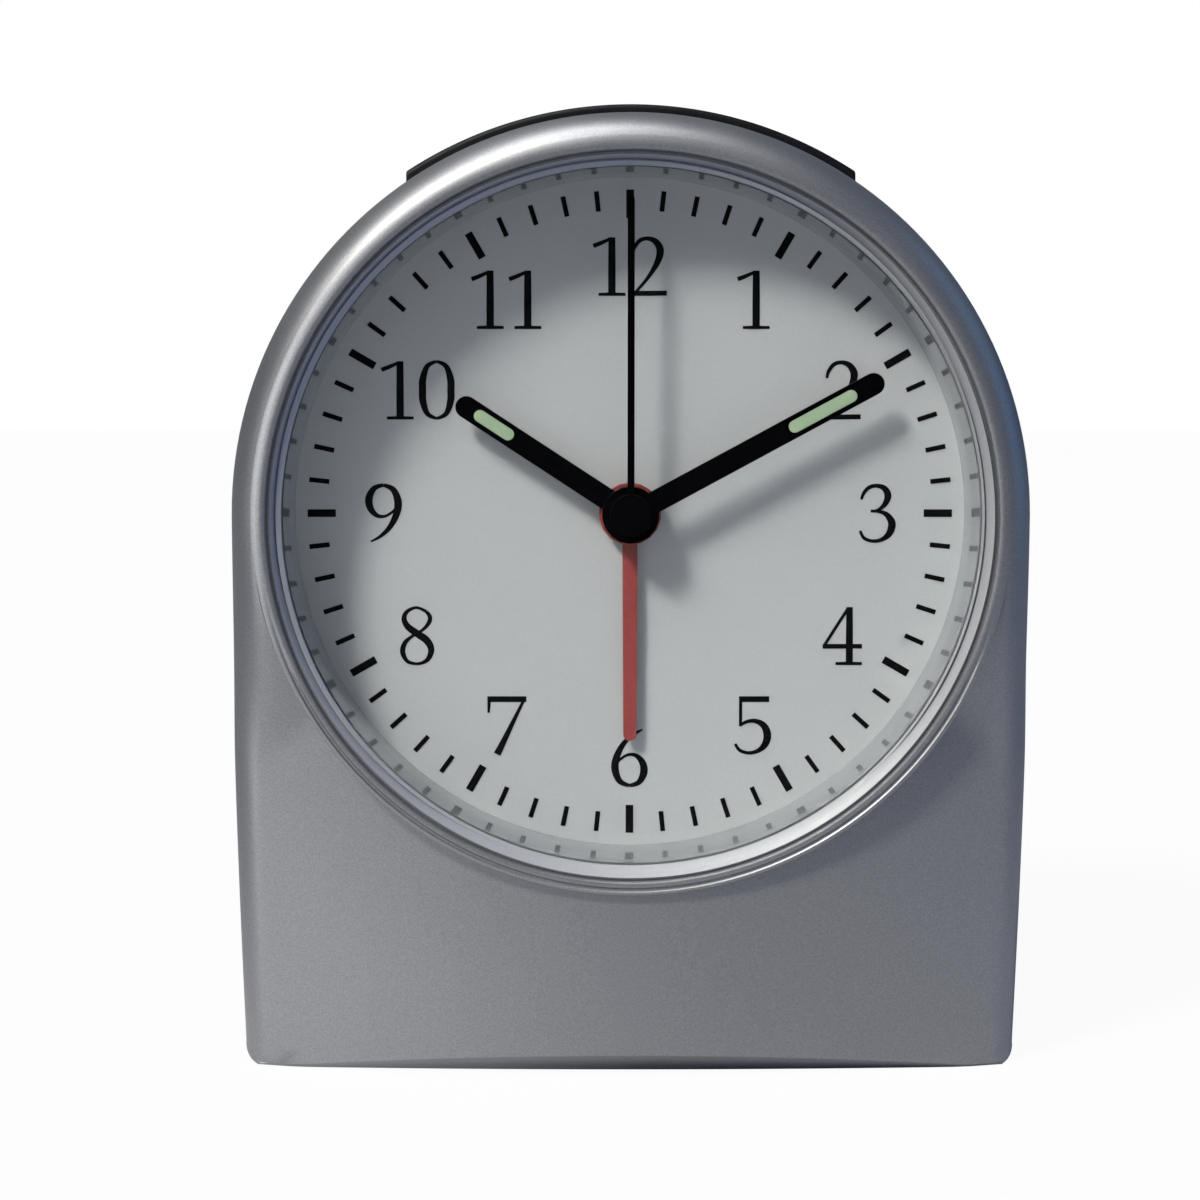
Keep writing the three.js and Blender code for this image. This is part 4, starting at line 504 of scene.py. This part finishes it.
def right_half(inset, lift, rise):
    """Right half of the outline, from the middle of the base to the top of the arch: x, z, share of base."""
    radius = ARCH_RADIUS - inset
    foot = BASE_HALF_WIDTH - inset
    corner = max(CORNER_RADIUS - max(inset, lift), MIN_CORNER)
    points = []
    for k in range(BASE_STEPS + 1):
        x = (foot - corner) * k / BASE_STEPS
        points.append((x, lift + rise(x), 1.0))
    for k in range(1, CORNER_STEPS + 1):
        turn = k / CORNER_STEPS * math.pi / 2
        x = foot - corner + corner * math.sin(turn)
        points.append((x, lift + corner - corner * math.cos(turn), 1 - k / CORNER_STEPS))
    for k in range(1, SIDE_STEPS + 1):
        t = k / SIDE_STEPS
        low, bend, high = (1 - t) ** 2, 2 * t * (1 - t), t * t
        x = low * foot + (bend + high) * radius
        points.append((x, low * (lift + corner) + bend * TAPER_BEND + high * TAPER_START, 0.0))
    for k in range(1, UPRIGHT_STEPS + 1):
        points.append((radius, mix(TAPER_START, AXIS_HEIGHT, k / UPRIGHT_STEPS), 0.0))
    for k in range(1, ARCH_STEPS + 1):
        turn = k / ARCH_STEPS * math.pi / 2
        points.append((radius * math.cos(turn), AXIS_HEIGHT + radius * math.sin(turn), 0.0))
    points[-1] = (0.0, AXIS_HEIGHT + radius, 0.0)
    return points


def outline(inset, lift=None, rise=lambda x: 0.0):
    right = right_half(inset, inset if lift is None else lift, rise)
    return right + [(-x, z, base) for x, z, base in right[-2:0:-1]]


def face_depth(x, z):
    """How far the front face lies behind the lip."""
    below = clamp(1 - z / AXIS_HEIGHT)
    return LIP_PROUD + mix(BULGE_DIAL, BULGE_BASE, below) * (x / ARCH_RADIUS) ** 2


def rim_depth(x, z, outer_reach):
    """Depth of the round bead on the arch, from the crest to the side wall."""
    reach = math.hypot(x, z - AXIS_HEIGHT)
    share = clamp((reach - CREST_RADIUS) / (outer_reach - CREST_RADIUS))
    return (face_depth(x, z) + RIM_DEPTH) * (1 - (1 - share**RIM_FULLNESS) ** (1 / RIM_FULLNESS))


def undercut(x):
    return max(0.0, 1 - (x / UNDERCUT_HALF_WIDTH) ** 2)


def case_shell():
    outer = outline(0)
    reaches = [math.hypot(x, z - AXIS_HEIGHT) for x, z, base in outer]
    flat = [smoothstep(reach, ARCH_RADIUS, ARCH_RADIUS + FACE_RAMP) for reach in reaches]

    def circle(radius):
        return [
            (x / reach * radius, AXIS_HEIGHT + (z - AXIS_HEIGHT) / reach * radius, base)
            for (x, z, base), reach in zip(outer, reaches)
        ]

    def ring(points, depth):
        return [place(x, depth(x, z, base, i), z) for i, (x, z, base) in enumerate(points)]

    def level(points, depth):
        return ring(points, lambda x, z, base, i: depth)

    def skin(x, z, base, i):
        return mix(rim_depth(x, z, reaches[i]), face_depth(x, z), flat[i])

    def lip(radius, low, high):
        """A ring of the lip: its depth below the dial, running into the bead on the arch."""

        def depth(x, z, base, i):
            bead = rim_depth(x, z, reaches[i]) if high is None else high
            return mix(bead, low, flat[i])

        return ring(circle(radius), depth)

    def around(x, z, hour):
        """1 towards an hour of the dial, 0 opposite to it."""
        angle, height = math.radians(30 * hour), z - AXIS_HEIGHT
        return 0.5 + 0.5 * (math.sin(angle) * x + math.cos(angle) * height) / math.hypot(x, height)

    def seat(narrow, wide, deep, shallow):
        """A ring of the lens seat. Its groove lies off centre, farthest out at ten, and is gone at six."""
        points = []
        for (x, z, base), reach in zip(outer, reaches):
            radius = WINDOW_RADIUS + mix(narrow, wide, around(x, z, GROOVE_FARTHEST_HOUR) ** 1.3)
            points.append((x / reach * radius, AXIS_HEIGHT + (z - AXIS_HEIGHT) / reach * radius, base))

        def depth(x, z, base, i):
            return mix(shallow, deep, smoothstep(around(x, z, GROOVE_DEEPEST_HOUR), 0.05, 0.22))

        return ring(points, depth)

    face_end = outline(EDGE_WIDTH, BASE_EDGE, lambda x: UNDERCUT_HEIGHT * undercut(x))
    foot = circle(LIP_FOOT_RADIUS)
    rings = [
        level(circle(SLEEVE_INNER), DIAL_BACK),
        level(circle(SLEEVE_INNER), BEVEL_DEPTH + 0.02),
        level(circle(WINDOW_RADIUS), BEVEL_DEPTH + 0.02),
        level(circle(WINDOW_RADIUS), BEVEL_DEPTH),
    ]
    rings += [seat(*row) for row in SEAT_RINGS]
    rings += [
        level(circle(WINDOW_RADIUS + BEVEL_TURN), BEVEL_TURN_DEPTH),
        level(circle(WINDOW_RADIUS + BEVEL_WIDTH), LIP_EDGE),
    ]
    rings += [lip(*row) for row in LIP_RINGS]
    for share in FACE_SHARES:
        points = [(mix(a[0], b[0], share), mix(a[1], b[1], share), 0.0) for a, b in zip(foot, face_end)]
        rings.append(ring(points, skin))
    for k in range(EDGE_STEPS + 1):
        share = k / EDGE_STEPS
        turn = share * math.pi / 2
        points = outline(
            EDGE_WIDTH * (1 - math.sin(turn)),
            BASE_EDGE * (1 - share),
            lambda x: UNDERCUT_HEIGHT * undercut(x) * (1 - share),
        )

        def edge(x, z, base, i):
            side = EDGE_DEPTH * (1 - math.cos(turn))
            under = (BASE_EDGE + UNDERCUT_DEPTH * undercut(x)) * share
            face = face_depth(x, z) + mix(side, under, base)
            return mix(rim_depth(x, z, reaches[i]), face, flat[i])

        rings.append(ring(points, edge))
    inside = outline(WALL)

    def inner_face(x, z, base, i):
        return mix(face_depth(x, z) + EDGE_DEPTH, face_depth(x, z) + WALL, flat[i])

    sleeve = circle(SLEEVE_OUTER)
    for depth in (*SIDE_DEPTHS, BODY_DEPTH - BACK_EDGE):
        rings.append(level(outer, depth))
    rings += [
        level(outline(BACK_EDGE), BODY_DEPTH),
        level(inside, BODY_DEPTH),
        ring(inside, inner_face),
        ring(sleeve, inner_face),
        level(sleeve, DIAL_BACK),
    ]
    return loft(rings)


case = case_shell()
# The slot for the snooze bar, which stops short of the sleeve around the dial.
slot_half = SNOOZE_HALF_WIDTH + FIT
slot_front, slot_back = SNOOZE_FRONT - FIT, SNOOZE_FRONT + SNOOZE_DEPTH + FIT
slot_foot = AXIS_HEIGHT + math.sqrt(SLEEVE_OUTER**2 - slot_half**2) - FIT
slot_top = AXIS_HEIGHT + ARCH_RADIUS + 3
slot_tool = block(-slot_half, slot_half, slot_front, slot_back, slot_foot, slot_top)
keeper_radius, keeper_front, keeper_back = 45.3, 5, 30
sleeve_keeper = turned(
    [(0.001, keeper_front), (keeper_radius, keeper_front), (keeper_radius, keeper_back), (0.001, keeper_back)],
    steps=128,
)
cut_with(slot_tool, sleeve_keeper)
cut_with(case, slot_tool)
smooth(case, 30)
finished(case, "case_shell", "case", "silver_case", SILVER, "front_case")
case.data.materials.append(BRIGHT_BEVEL)
for face in case.data.polygons:
    reach = math.hypot(face.center.x, face.center.z - AXIS_HEIGHT * MM) / MM
    if face.center.y < place(0, BEVEL_DEPTH, 0).y and reach < WINDOW_RADIUS + BEVEL_WIDTH:
        face.material_index = 1

# Window

lens_profile = [
    (LENS_PINHOLE, LENS_FRONT),
    (LENS_RADIUS - LENS_CHAMFER, LENS_FRONT),
    (LENS_RADIUS, LENS_FRONT + LENS_CHAMFER),
    (LENS_RADIUS, LENS_BACK),
    (LENS_PINHOLE, LENS_BACK),
]
lens = turned(lens_profile)
smooth(lens, 30)
finished(lens, "lens_disc", "case", "clear_lens", CLEAR, "lens")

ring_foot = WINDOW_RADIUS - RING_DRAFT
ring_profile = [
    (WINDOW_RADIUS, LENS_BACK + RING_GAP),
    (LENS_RADIUS, LENS_BACK + RING_GAP),
    (LENS_RADIUS, DIAL_DEPTH - RING_GAP),
    (ring_foot, DIAL_DEPTH - RING_GAP),
    (ring_foot + 0.03, DIAL_DEPTH - 1.5),
    (ring_foot + 0.10, DIAL_DEPTH - 3.5),
    (ring_foot + 0.27, DIAL_DEPTH - 5.5),
]
dial_ring = turned(ring_profile, steps=256)
smooth(dial_ring, 30)
finished(dial_ring, "dial_ring_wall", "case", "silver_ring", RING_GLOSS, "dial_ring")

# Dial print

MARK_THICKNESS = 0.04
MARK_OUTER = 39.9
HOUR_MARK = (3.5, 0.95)  # length and width
MINUTE_MARK = (2.5, 0.6)


def dial_marks():
    marks = []
    for minute in range(60):
        length, width = MINUTE_MARK if minute % 5 else HOUR_MARK
        front = DIAL_DEPTH - MARK_THICKNESS
        mark = block(-width / 2, width / 2, front, DIAL_DEPTH, MARK_OUTER - length, MARK_OUTER)
        to_axis = Matrix.Translation(place(0, DEPTH_SHIFT, AXIS_HEIGHT))
        mark.matrix_world = to_axis @ Matrix.Rotation(math.radians(6 * minute), 4, "Y")
        apply_all(mark)
        marks.append(mark)
    return join_all(marks)


# Numerals drawn with a broad pen: each stroke is a list of (x, height, width) in parts of a figure's height.
STROKES = {
    "0": [
        [(0.30, 0.985, 0.05), (0.14, 0.90, 0.085), (0.065, 0.68, 0.12), (0.06, 0.50, 0.125), (0.065, 0.32, 0.12),
         (0.14, 0.10, 0.085), (0.30, 0.015, 0.05)],
        [(0.30, 0.015, 0.05), (0.46, 0.10, 0.085), (0.535, 0.32, 0.12), (0.54, 0.50, 0.125), (0.535, 0.68, 0.12),
         (0.46, 0.90, 0.085), (0.30, 0.985, 0.05)],
    ],
    "1": [
        [(0.315, 0.02, 0.125), (0.315, 0.50, 0.125), (0.315, 0.985, 0.115)],
        [(0.0, 0.84, 0.075), (0.12, 0.885, 0.07), (0.30, 0.965, 0.05)],
        [(0.09, 0.025, 0.05), (0.315, 0.028, 0.058), (0.545, 0.025, 0.05)],
    ],
    "2": [
        [(0.035, 0.70, 0.045), (0.06, 0.81, 0.06), (0.15, 0.93, 0.07), (0.28, 0.965, 0.07), (0.41, 0.92, 0.10),
         (0.49, 0.80, 0.125), (0.485, 0.67, 0.12), (0.42, 0.51, 0.095), (0.27, 0.28, 0.06), (0.07, 0.05, 0.05)],
        [(0.03, 0.042, 0.085), (0.30, 0.042, 0.085), (0.61, 0.046, 0.085)],
    ],
    "3": [
        [(0.04, 0.73, 0.045), (0.08, 0.84, 0.06), (0.17, 0.935, 0.07), (0.30, 0.965, 0.07), (0.43, 0.92, 0.10),
         (0.49, 0.80, 0.12), (0.45, 0.67, 0.095), (0.36, 0.575, 0.06), (0.27, 0.535, 0.045)],
        [(0.20, 0.535, 0.05), (0.33, 0.53, 0.055), (0.47, 0.475, 0.09), (0.56, 0.33, 0.13), (0.52, 0.16, 0.115),
         (0.40, 0.055, 0.075), (0.24, 0.025, 0.06), (0.09, 0.075, 0.06), (0.02, 0.20, 0.05)],
    ],
    "4": [
        [(0.455, 0.02, 0.12), (0.455, 0.50, 0.12), (0.455, 0.99, 0.11)],
        [(0.03, 0.335, 0.055), (0.22, 0.64, 0.055), (0.43, 0.965, 0.055)],
        [(0.0, 0.32, 0.08), (0.33, 0.32, 0.08), (0.67, 0.32, 0.08)],
        [(0.22, 0.025, 0.05), (0.455, 0.028, 0.058), (0.67, 0.025, 0.05)],
    ],
    "5": [
        [(0.085, 0.945, 0.10), (0.34, 0.945, 0.10), (0.60, 0.945, 0.10)],
        [(0.112, 0.95, 0.055), (0.112, 0.72, 0.055), (0.112, 0.48, 0.055)],
        [(0.112, 0.50, 0.05), (0.22, 0.56, 0.06), (0.37, 0.57, 0.08), (0.51, 0.49, 0.115), (0.57, 0.33, 0.135),
         (0.53, 0.17, 0.115), (0.41, 0.06, 0.075), (0.25, 0.025, 0.06), (0.10, 0.07, 0.06), (0.02, 0.18, 0.05)],
    ],
    "6": [
        [(0.53, 0.985, 0.03), (0.36, 0.89, 0.06), (0.20, 0.73, 0.09), (0.09, 0.51, 0.12), (0.065, 0.30, 0.13),
         (0.145, 0.10, 0.10), (0.31, 0.02, 0.06)],
        [(0.31, 0.02, 0.06), (0.47, 0.08, 0.095), (0.555, 0.25, 0.13), (0.53, 0.42, 0.115), (0.42, 0.54, 0.075),
         (0.28, 0.55, 0.05), (0.15, 0.47, 0.045), (0.10, 0.40, 0.03)],
    ],
    "7": [
        [(0.0, 0.945, 0.10), (0.33, 0.945, 0.10), (0.665, 0.945, 0.10)],
        [(0.028, 0.96, 0.056), (0.028, 0.84, 0.056), (0.020, 0.71, 0.04)],
        [(0.635, 0.96, 0.045), (0.43, 0.54, 0.075), (0.26, 0.19, 0.105), (0.165, 0.0, 0.125)],
    ],
    "8": [
        [(0.47, 0.91, 0.06), (0.30, 0.98, 0.05), (0.14, 0.915, 0.07), (0.085, 0.79, 0.09), (0.15, 0.655, 0.11),
         (0.31, 0.535, 0.125), (0.47, 0.42, 0.125), (0.545, 0.27, 0.11), (0.50, 0.115, 0.085), (0.40, 0.04, 0.06),
         (0.29, 0.018, 0.05)],
        [(0.29, 0.018, 0.05), (0.14, 0.065, 0.065), (0.06, 0.22, 0.09), (0.10, 0.38, 0.08), (0.22, 0.49, 0.055),
         (0.40, 0.60, 0.055), (0.505, 0.72, 0.075), (0.525, 0.82, 0.075), (0.47, 0.91, 0.06)],
    ],
}
STROKES["9"] = [[(0.62 - x, 1 - h, w) for x, h, w in stroke] for stroke in STROKES["6"]]
FIGURE_HEIGHT = 7.3
FIGURE_STEP = 0.635  # from one figure to the next, in parts of their height
NUMERAL_REACH = 30.5
INK_THICKNESS, STROKE_LIFT = 0.03, 0.004
PATH_STEPS = 8


def smooth_path(points):
    """Points on a smooth curve through the given ones."""
    path = []
    for k in range(len(points) - 1):
        p0, p1 = points[max(k - 1, 0)], points[k]
        p2, p3 = points[k + 1], points[min(k + 2, len(points) - 1)]
        for step in range(PATH_STEPS):
            t = step / PATH_STEPS
            path.append(
                tuple(
                    0.5 * (2 * b + (c - a) * t + (2 * a - 5 * b + 4 * c - d) * t**2 + (3 * b - a - 3 * c + d) * t**3)
                    for a, b, c, d in zip(p0, p1, p2, p3)
                )
            )
    return path + [points[-1]]


def pen_stroke(points, x0, z0, thickness):
    """A flat strip along the stroke, as wide as the pen, raised by the ink's thickness."""
    path = smooth_path(points)
    cells = len(path) - 1
    obj = start(bpy.ops.mesh.primitive_grid_add, x_subdivisions=cells, y_subdivisions=1, size=2)
    bpy.ops.object.mode_set(mode="EDIT")
    shape = bmesh.from_edit_mesh(obj.data)
    for vert in shape.verts:
        k = round((vert.co.x + 1) / 2 * cells)
        before, after = path[max(k - 1, 0)], path[min(k + 1, cells)]
        along = Vector((after[0] - before[0], after[1] - before[1])).normalized()
        side = 0.5 if vert.co.y > 0 else -0.5
        x = path[k][0] - along.y * side * path[k][2]
        z = path[k][1] + along.x * side * path[k][2]
        vert.co = place(x0 + x * FIGURE_HEIGHT, DIAL_DEPTH, z0 + z * FIGURE_HEIGHT)
    bmesh.update_edit_mesh(obj.data)
    bpy.ops.mesh.select_all(action="SELECT")
    bpy.ops.mesh.extrude_region_move(TRANSFORM_OT_translate={"value": (0, -thickness * MM, 0)})
    bpy.ops.object.mode_set(mode="OBJECT")
    clean(obj)
    return obj


def numeral(number):
    """Strokes of an hour's number, centred on its place on the dial. Each lies a little above the last."""
    angle = math.radians(30 * number)
    x0 = NUMERAL_REACH * math.sin(angle)
    z0 = AXIS_HEIGHT + NUMERAL_REACH * math.cos(angle) - FIGURE_HEIGHT / 2
    figures = str(number)
    reach = [x for n, f in enumerate(figures) for s in STROKES[f] for x in (n * FIGURE_STEP + p[0] for p in s)]
    x0 -= (min(reach) + max(reach)) / 2 * FIGURE_HEIGHT
    strokes = []
    for n, figure in enumerate(figures):
        for k, points in enumerate(STROKES[figure]):
            left = x0 + n * FIGURE_STEP * FIGURE_HEIGHT
            strokes.append(pen_stroke(points, left, z0, INK_THICKNESS + STROKE_LIFT * k))
    return strokes


marks = dial_marks()
finished(marks, "dial_marks", "case", "dial_face", DIAL_INK)
numerals = join_all([stroke for number in range(1, 13) for stroke in numeral(number)])
finished(numerals, "dial_numerals", "case", "dial_face", DIAL_INK)

# Hands

for node, body, material, slot in (
    ("hour_hand", "hour", BLACK_PAINT, "black_hand"),
    ("minute_hand", "minute", BLACK_PAINT, "black_hand"),
    ("second_hand", "second", BLACK_PAINT, "black_hand"),
    ("alarm_hand", "alarm", RED_PAINT, "red_hand"),
    ("hour_lume", "hour", LUME, "lume"),
    ("minute_lume", "minute", LUME, "lume"),
):
    finished(dressed(node, 0.05), node + "_finished", body, slot, material, node)

# Snooze bar


def snooze_bar():
    """A strip of the arch, spun about the dial's axis and cut square at both ends."""
    outer, inner = ARCH_RADIUS + SNOOZE_PROUD, SNOOZE_INNER
    front, back = SNOOZE_FRONT, SNOOZE_FRONT + SNOOZE_DEPTH
    corners = [
        (inner, front, 1, 1),
        (outer, front, -1, 1),
        (outer, back, -1, -1),
        (inner, back, 1, -1),
    ]
    profile = []
    for n, (radius, depth, dr, dd) in enumerate(corners):
        for k in range(5):
            turn = k / 4 * math.pi / 2
            toward, along = SNOOZE_SOFT * (1 - math.cos(turn)), SNOOZE_SOFT * (1 - math.sin(turn))
            a, b = (along, toward) if n % 2 else (toward, along)
            profile.append((radius + dr * a, depth + dd * b))
    bar = turned(profile, steps=360)
    make_active(bar)
    bpy.ops.object.mode_set(mode="EDIT")
    for x, axis in ((SNOOZE_HALF_WIDTH, 1), (-SNOOZE_HALF_WIDTH, -1)):
        bpy.ops.mesh.select_all(action="SELECT")
        bpy.ops.mesh.bisect(plane_co=place(x, 0, 0), plane_no=(axis, 0, 0), use_fill=True, clear_outer=True)
    bpy.ops.mesh.select_all(action="SELECT")
    bpy.ops.mesh.bisect(plane_co=place(0, 0, AXIS_HEIGHT), plane_no=(0, 0, 1), clear_inner=True)
    bpy.ops.object.mode_set(mode="OBJECT")
    clean(bar)
    sharp = math.radians(50)
    apply_modifier(bar, "BEVEL", width=SNOOZE_END_SOFT * MM, segments=3, limit_method="ANGLE", angle_limit=sharp)
    smooth(bar)
    return bar


finished(snooze_bar(), "snooze_strip", "snooze", "black_plastic", BLACK_PLASTIC, "snooze_bar")

# Back

for node, body, material, slot, bevel in (
    ("back_cover", "case", COVER_PLASTIC, "grey_cover", 0.25),
    ("battery_door", "door", COVER_PLASTIC, "grey_cover", 0.2),
    ("alarm_knob", "alarm_setting", BLACK_PLASTIC, "black_plastic", 0.3),
    ("set_button", "set", BLACK_PLASTIC, "black_plastic", 0.15),
    ("wave_button", "wave", BLACK_PLASTIC, "black_plastic", 0.15),
    ("reset_button", "reset", BLACK_PLASTIC, "black_plastic", 0.15),
    ("alarm_slider", "alarm_switch", BLACK_PLASTIC, "black_plastic", 0.2),
    ("battery", "case", CELL, "cell", 0.2),
    ("case_screw_1", "case", STEEL, "steel", 0.15),
    ("case_screw_2", "case", STEEL, "steel", 0.15),
    ("case_screw_3", "case", STEEL, "steel", 0.15),
    ("case_screw_4", "case", STEEL, "steel", 0.15),
):
    finished(dressed(node, bevel), node + "_finished", body, slot, material, node)

# Stage, light and camera


def pale_floor():
    """A pale floor: near white to the camera but for the shadow, and to the clock a dim bluish room, with painted
    reflections that only mirrors see: a bright pool near the clock and a glowing patch at its front left.
    """
    finish = Finish("pale_floor", roughness=0.9)
    grain = finish.add("ShaderNodeValToRGB")
    grain.color_ramp.elements[0].color = (0.85, 0.85, 0.85, 1)
    grain.color_ramp.elements[1].color = (0.87, 0.87, 0.87, 1)
    finish.links.new(finish.noise(60), grain.inputs["Fac"])
    light = finish.add("ShaderNodeLightPath")

    def mirrored_near(centre, near, far, most):
        """Share of painted reflection that only mirrors see, fading with the distance from a point of the floor."""
        distance = finish.add("ShaderNodeVectorMath", operation="DISTANCE")
        distance.inputs[1].default_value = (*centre, 0)
        finish.links.new(finish.coords.outputs["Object"], distance.inputs[0])
        fade = finish.add("ShaderNodeMapRange", interpolation_type="SMOOTHSTEP")
        fade.inputs["From Min"].default_value = near
        fade.inputs["From Max"].default_value = far
        fade.inputs["To Min"].default_value = most
        fade.inputs["To Max"].default_value = 0.0
        finish.links.new(distance.outputs["Value"], fade.inputs["Value"])
        share = finish.add("ShaderNodeMath", operation="MULTIPLY")
        finish.links.new(fade.outputs["Result"], share.inputs[0])
        finish.links.new(light.outputs["Is Glossy Ray"], share.inputs[1])
        return share.outputs[0]

    pale = finish.add("ShaderNodeMath", operation="MAXIMUM")
    finish.links.new(light.outputs["Is Camera Ray"], pale.inputs[0])
    # Painted reflection: to mirrors the floor is mostly near white within 8 cm of the clock, fading out by 30 cm.
    finish.links.new(mirrored_near((0, -0.03), 0.08, 0.30, 0.85), pale.inputs[1])
    tone = finish.add("ShaderNodeMixRGB", Color1=(0.28, 0.295, 0.34, 1))
    finish.links.new(pale.outputs[0], tone.inputs["Fac"])
    finish.links.new(grain.outputs["Color"], tone.inputs["Color2"])
    finish.links.new(tone.outputs["Color"], finish.shader.inputs["Base Color"])
    share = finish.add("ShaderNodeMath", operation="MULTIPLY_ADD")
    share.inputs[1].default_value = 0.95
    finish.links.new(light.outputs["Is Camera Ray"], share.inputs[0])
    # Painted reflection: a patch of floor at the clock's front left glows white to mirrors only, a painted highlight on
    # the lower left of the case's face.
    finish.links.new(mirrored_near((-0.070, -0.062), 0.02, 0.09, 0.95), share.inputs[2])
    glow = finish.add("ShaderNodeEmission", Strength=1.0)
    both = finish.add("ShaderNodeMixShader")
    finish.links.new(share.outputs[0], both.inputs["Fac"])
    finish.links.new(finish.shader.outputs["BSDF"], both.inputs[1])
    finish.links.new(glow.outputs["Emission"], both.inputs[2])
    finish.links.new(both.outputs["Shader"], finish.output.inputs["Surface"])
    return finish.material


floor = start(bpy.ops.mesh.primitive_plane_add, size=6, location=(0, 0, 0))
floor.name = "floor"
floor.data.materials.append(pale_floor())


def studio_sky():
    """White behind the clock, a soft bluish light around it and a darker room in its reflections."""
    world = bpy.data.worlds.new("studio")
    bpy.context.scene.world = world
    world.use_nodes = True
    nodes, links = world.node_tree.nodes, world.node_tree.links
    path = nodes.new("ShaderNodeLightPath")

    def sky(colour, strength):
        node = nodes.new("ShaderNodeBackground")
        node.inputs["Color"].default_value = (*colour, 1)
        node.inputs["Strength"].default_value = strength
        return node.outputs["Background"]

    def either(ray, without, with_it):
        node = nodes.new("ShaderNodeMixShader")
        links.new(path.outputs[ray], node.inputs["Fac"])
        links.new(without, node.inputs[1])
        links.new(with_it, node.inputs[2])
        return node.outputs["Shader"]

    around = either("Is Glossy Ray", sky((0.49, 0.555, 1.0), 0.20), sky((0.50, 0.66, 1.0), 0.085))
    seen = either("Is Camera Ray", around, sky((1, 1, 1), 1.0))
    links.new(seen, nodes["World Output"].inputs["Surface"])


def key_light(toward, strength, softness, colour):
    """Light from one side, as from a wide window: parallel, with soft shadows."""
    deselect_all()
    bpy.ops.object.light_add(type="SUN", location=Vector(toward).normalized())
    light = bpy.context.active_object
    light.name = "key"
    light.data.energy = strength
    light.data.angle = math.radians(softness)
    light.data.color = colour
    light.rotation_euler = Vector(toward).to_track_quat("Z", "Y").to_euler()


LAMP_DISTANCE = 0.6


def soft_lamp(name, toward, width, height, power, colour):
    """A lamp that looks at the middle of the dial."""
    deselect_all()
    toward = Vector(toward).normalized()
    bpy.ops.object.light_add(type="AREA", location=place(0, 0, AXIS_HEIGHT) + toward * LAMP_DISTANCE)
    light = bpy.context.active_object
    light.name = name
    light.data.shape = "RECTANGLE"
    light.data.size = width
    light.data.size_y = height
    light.data.energy = power
    light.data.color = colour
    light.rotation_euler = toward.to_track_quat("Z", "Y").to_euler()
    light.visible_transmission = False
    return light


def glint_light(name, toward, width, height, power, colour=(1, 1, 1)):
    """A soft lamp that is only seen mirrored in the paint and the bevel."""
    soft_lamp(name, toward, width, height, power, colour).visible_diffuse = False


def sky_fill(toward, size, power, colour):
    """Light of the open sky from the right, which colours the shadows and isn't mirrored."""
    soft_lamp("sky_fill", toward, size, size, power, colour).visible_glossy = False


studio_sky()
key_light((-1.0, -1.07, 1.48), 2.72, 11, (1.0, 0.967, 0.88))
glint_light("arch_glint", (-0.48, -0.35, 0.80), 0.45, 0.20, 1.0)
glint_light("overhead_glint", (-0.17, -0.12, 1.0), 0.36, 0.25, 1.8)
glint_light("sky_glint", (0.93, 0.2, 0.3), 0.5, 0.5, 0.38, (0.28, 0.55, 1.0))
glint_light("left_glint", (-0.75, -0.75, -0.06), 0.30, 0.45, 2.0)
sky_fill((0.7, -0.6, 0.35), 0.5, 0.5, (0.25, 0.5, 1.0))

camera_data = bpy.data.cameras.new("camera")
camera = bpy.data.objects.new("camera", camera_data)
bpy.context.scene.collection.objects.link(camera)
# A little left of the dial and above it, looking down by 2.7 degrees, with the clock shifted to its place in the photo.
camera.location = place(-8, -290, AXIS_HEIGHT + 18)
camera.rotation_euler = (math.radians(87.3), 0, 0)
camera_data.sensor_width = 36
camera_data.lens = 73.0
photo_width = 1200
camera_data.shift_x = 34.8 / photo_width
camera_data.shift_y = -117.6 / photo_width
camera_data.clip_start = 0.01
bpy.context.scene.camera = camera
bpy.context.scene.view_settings.view_transform = "Standard"
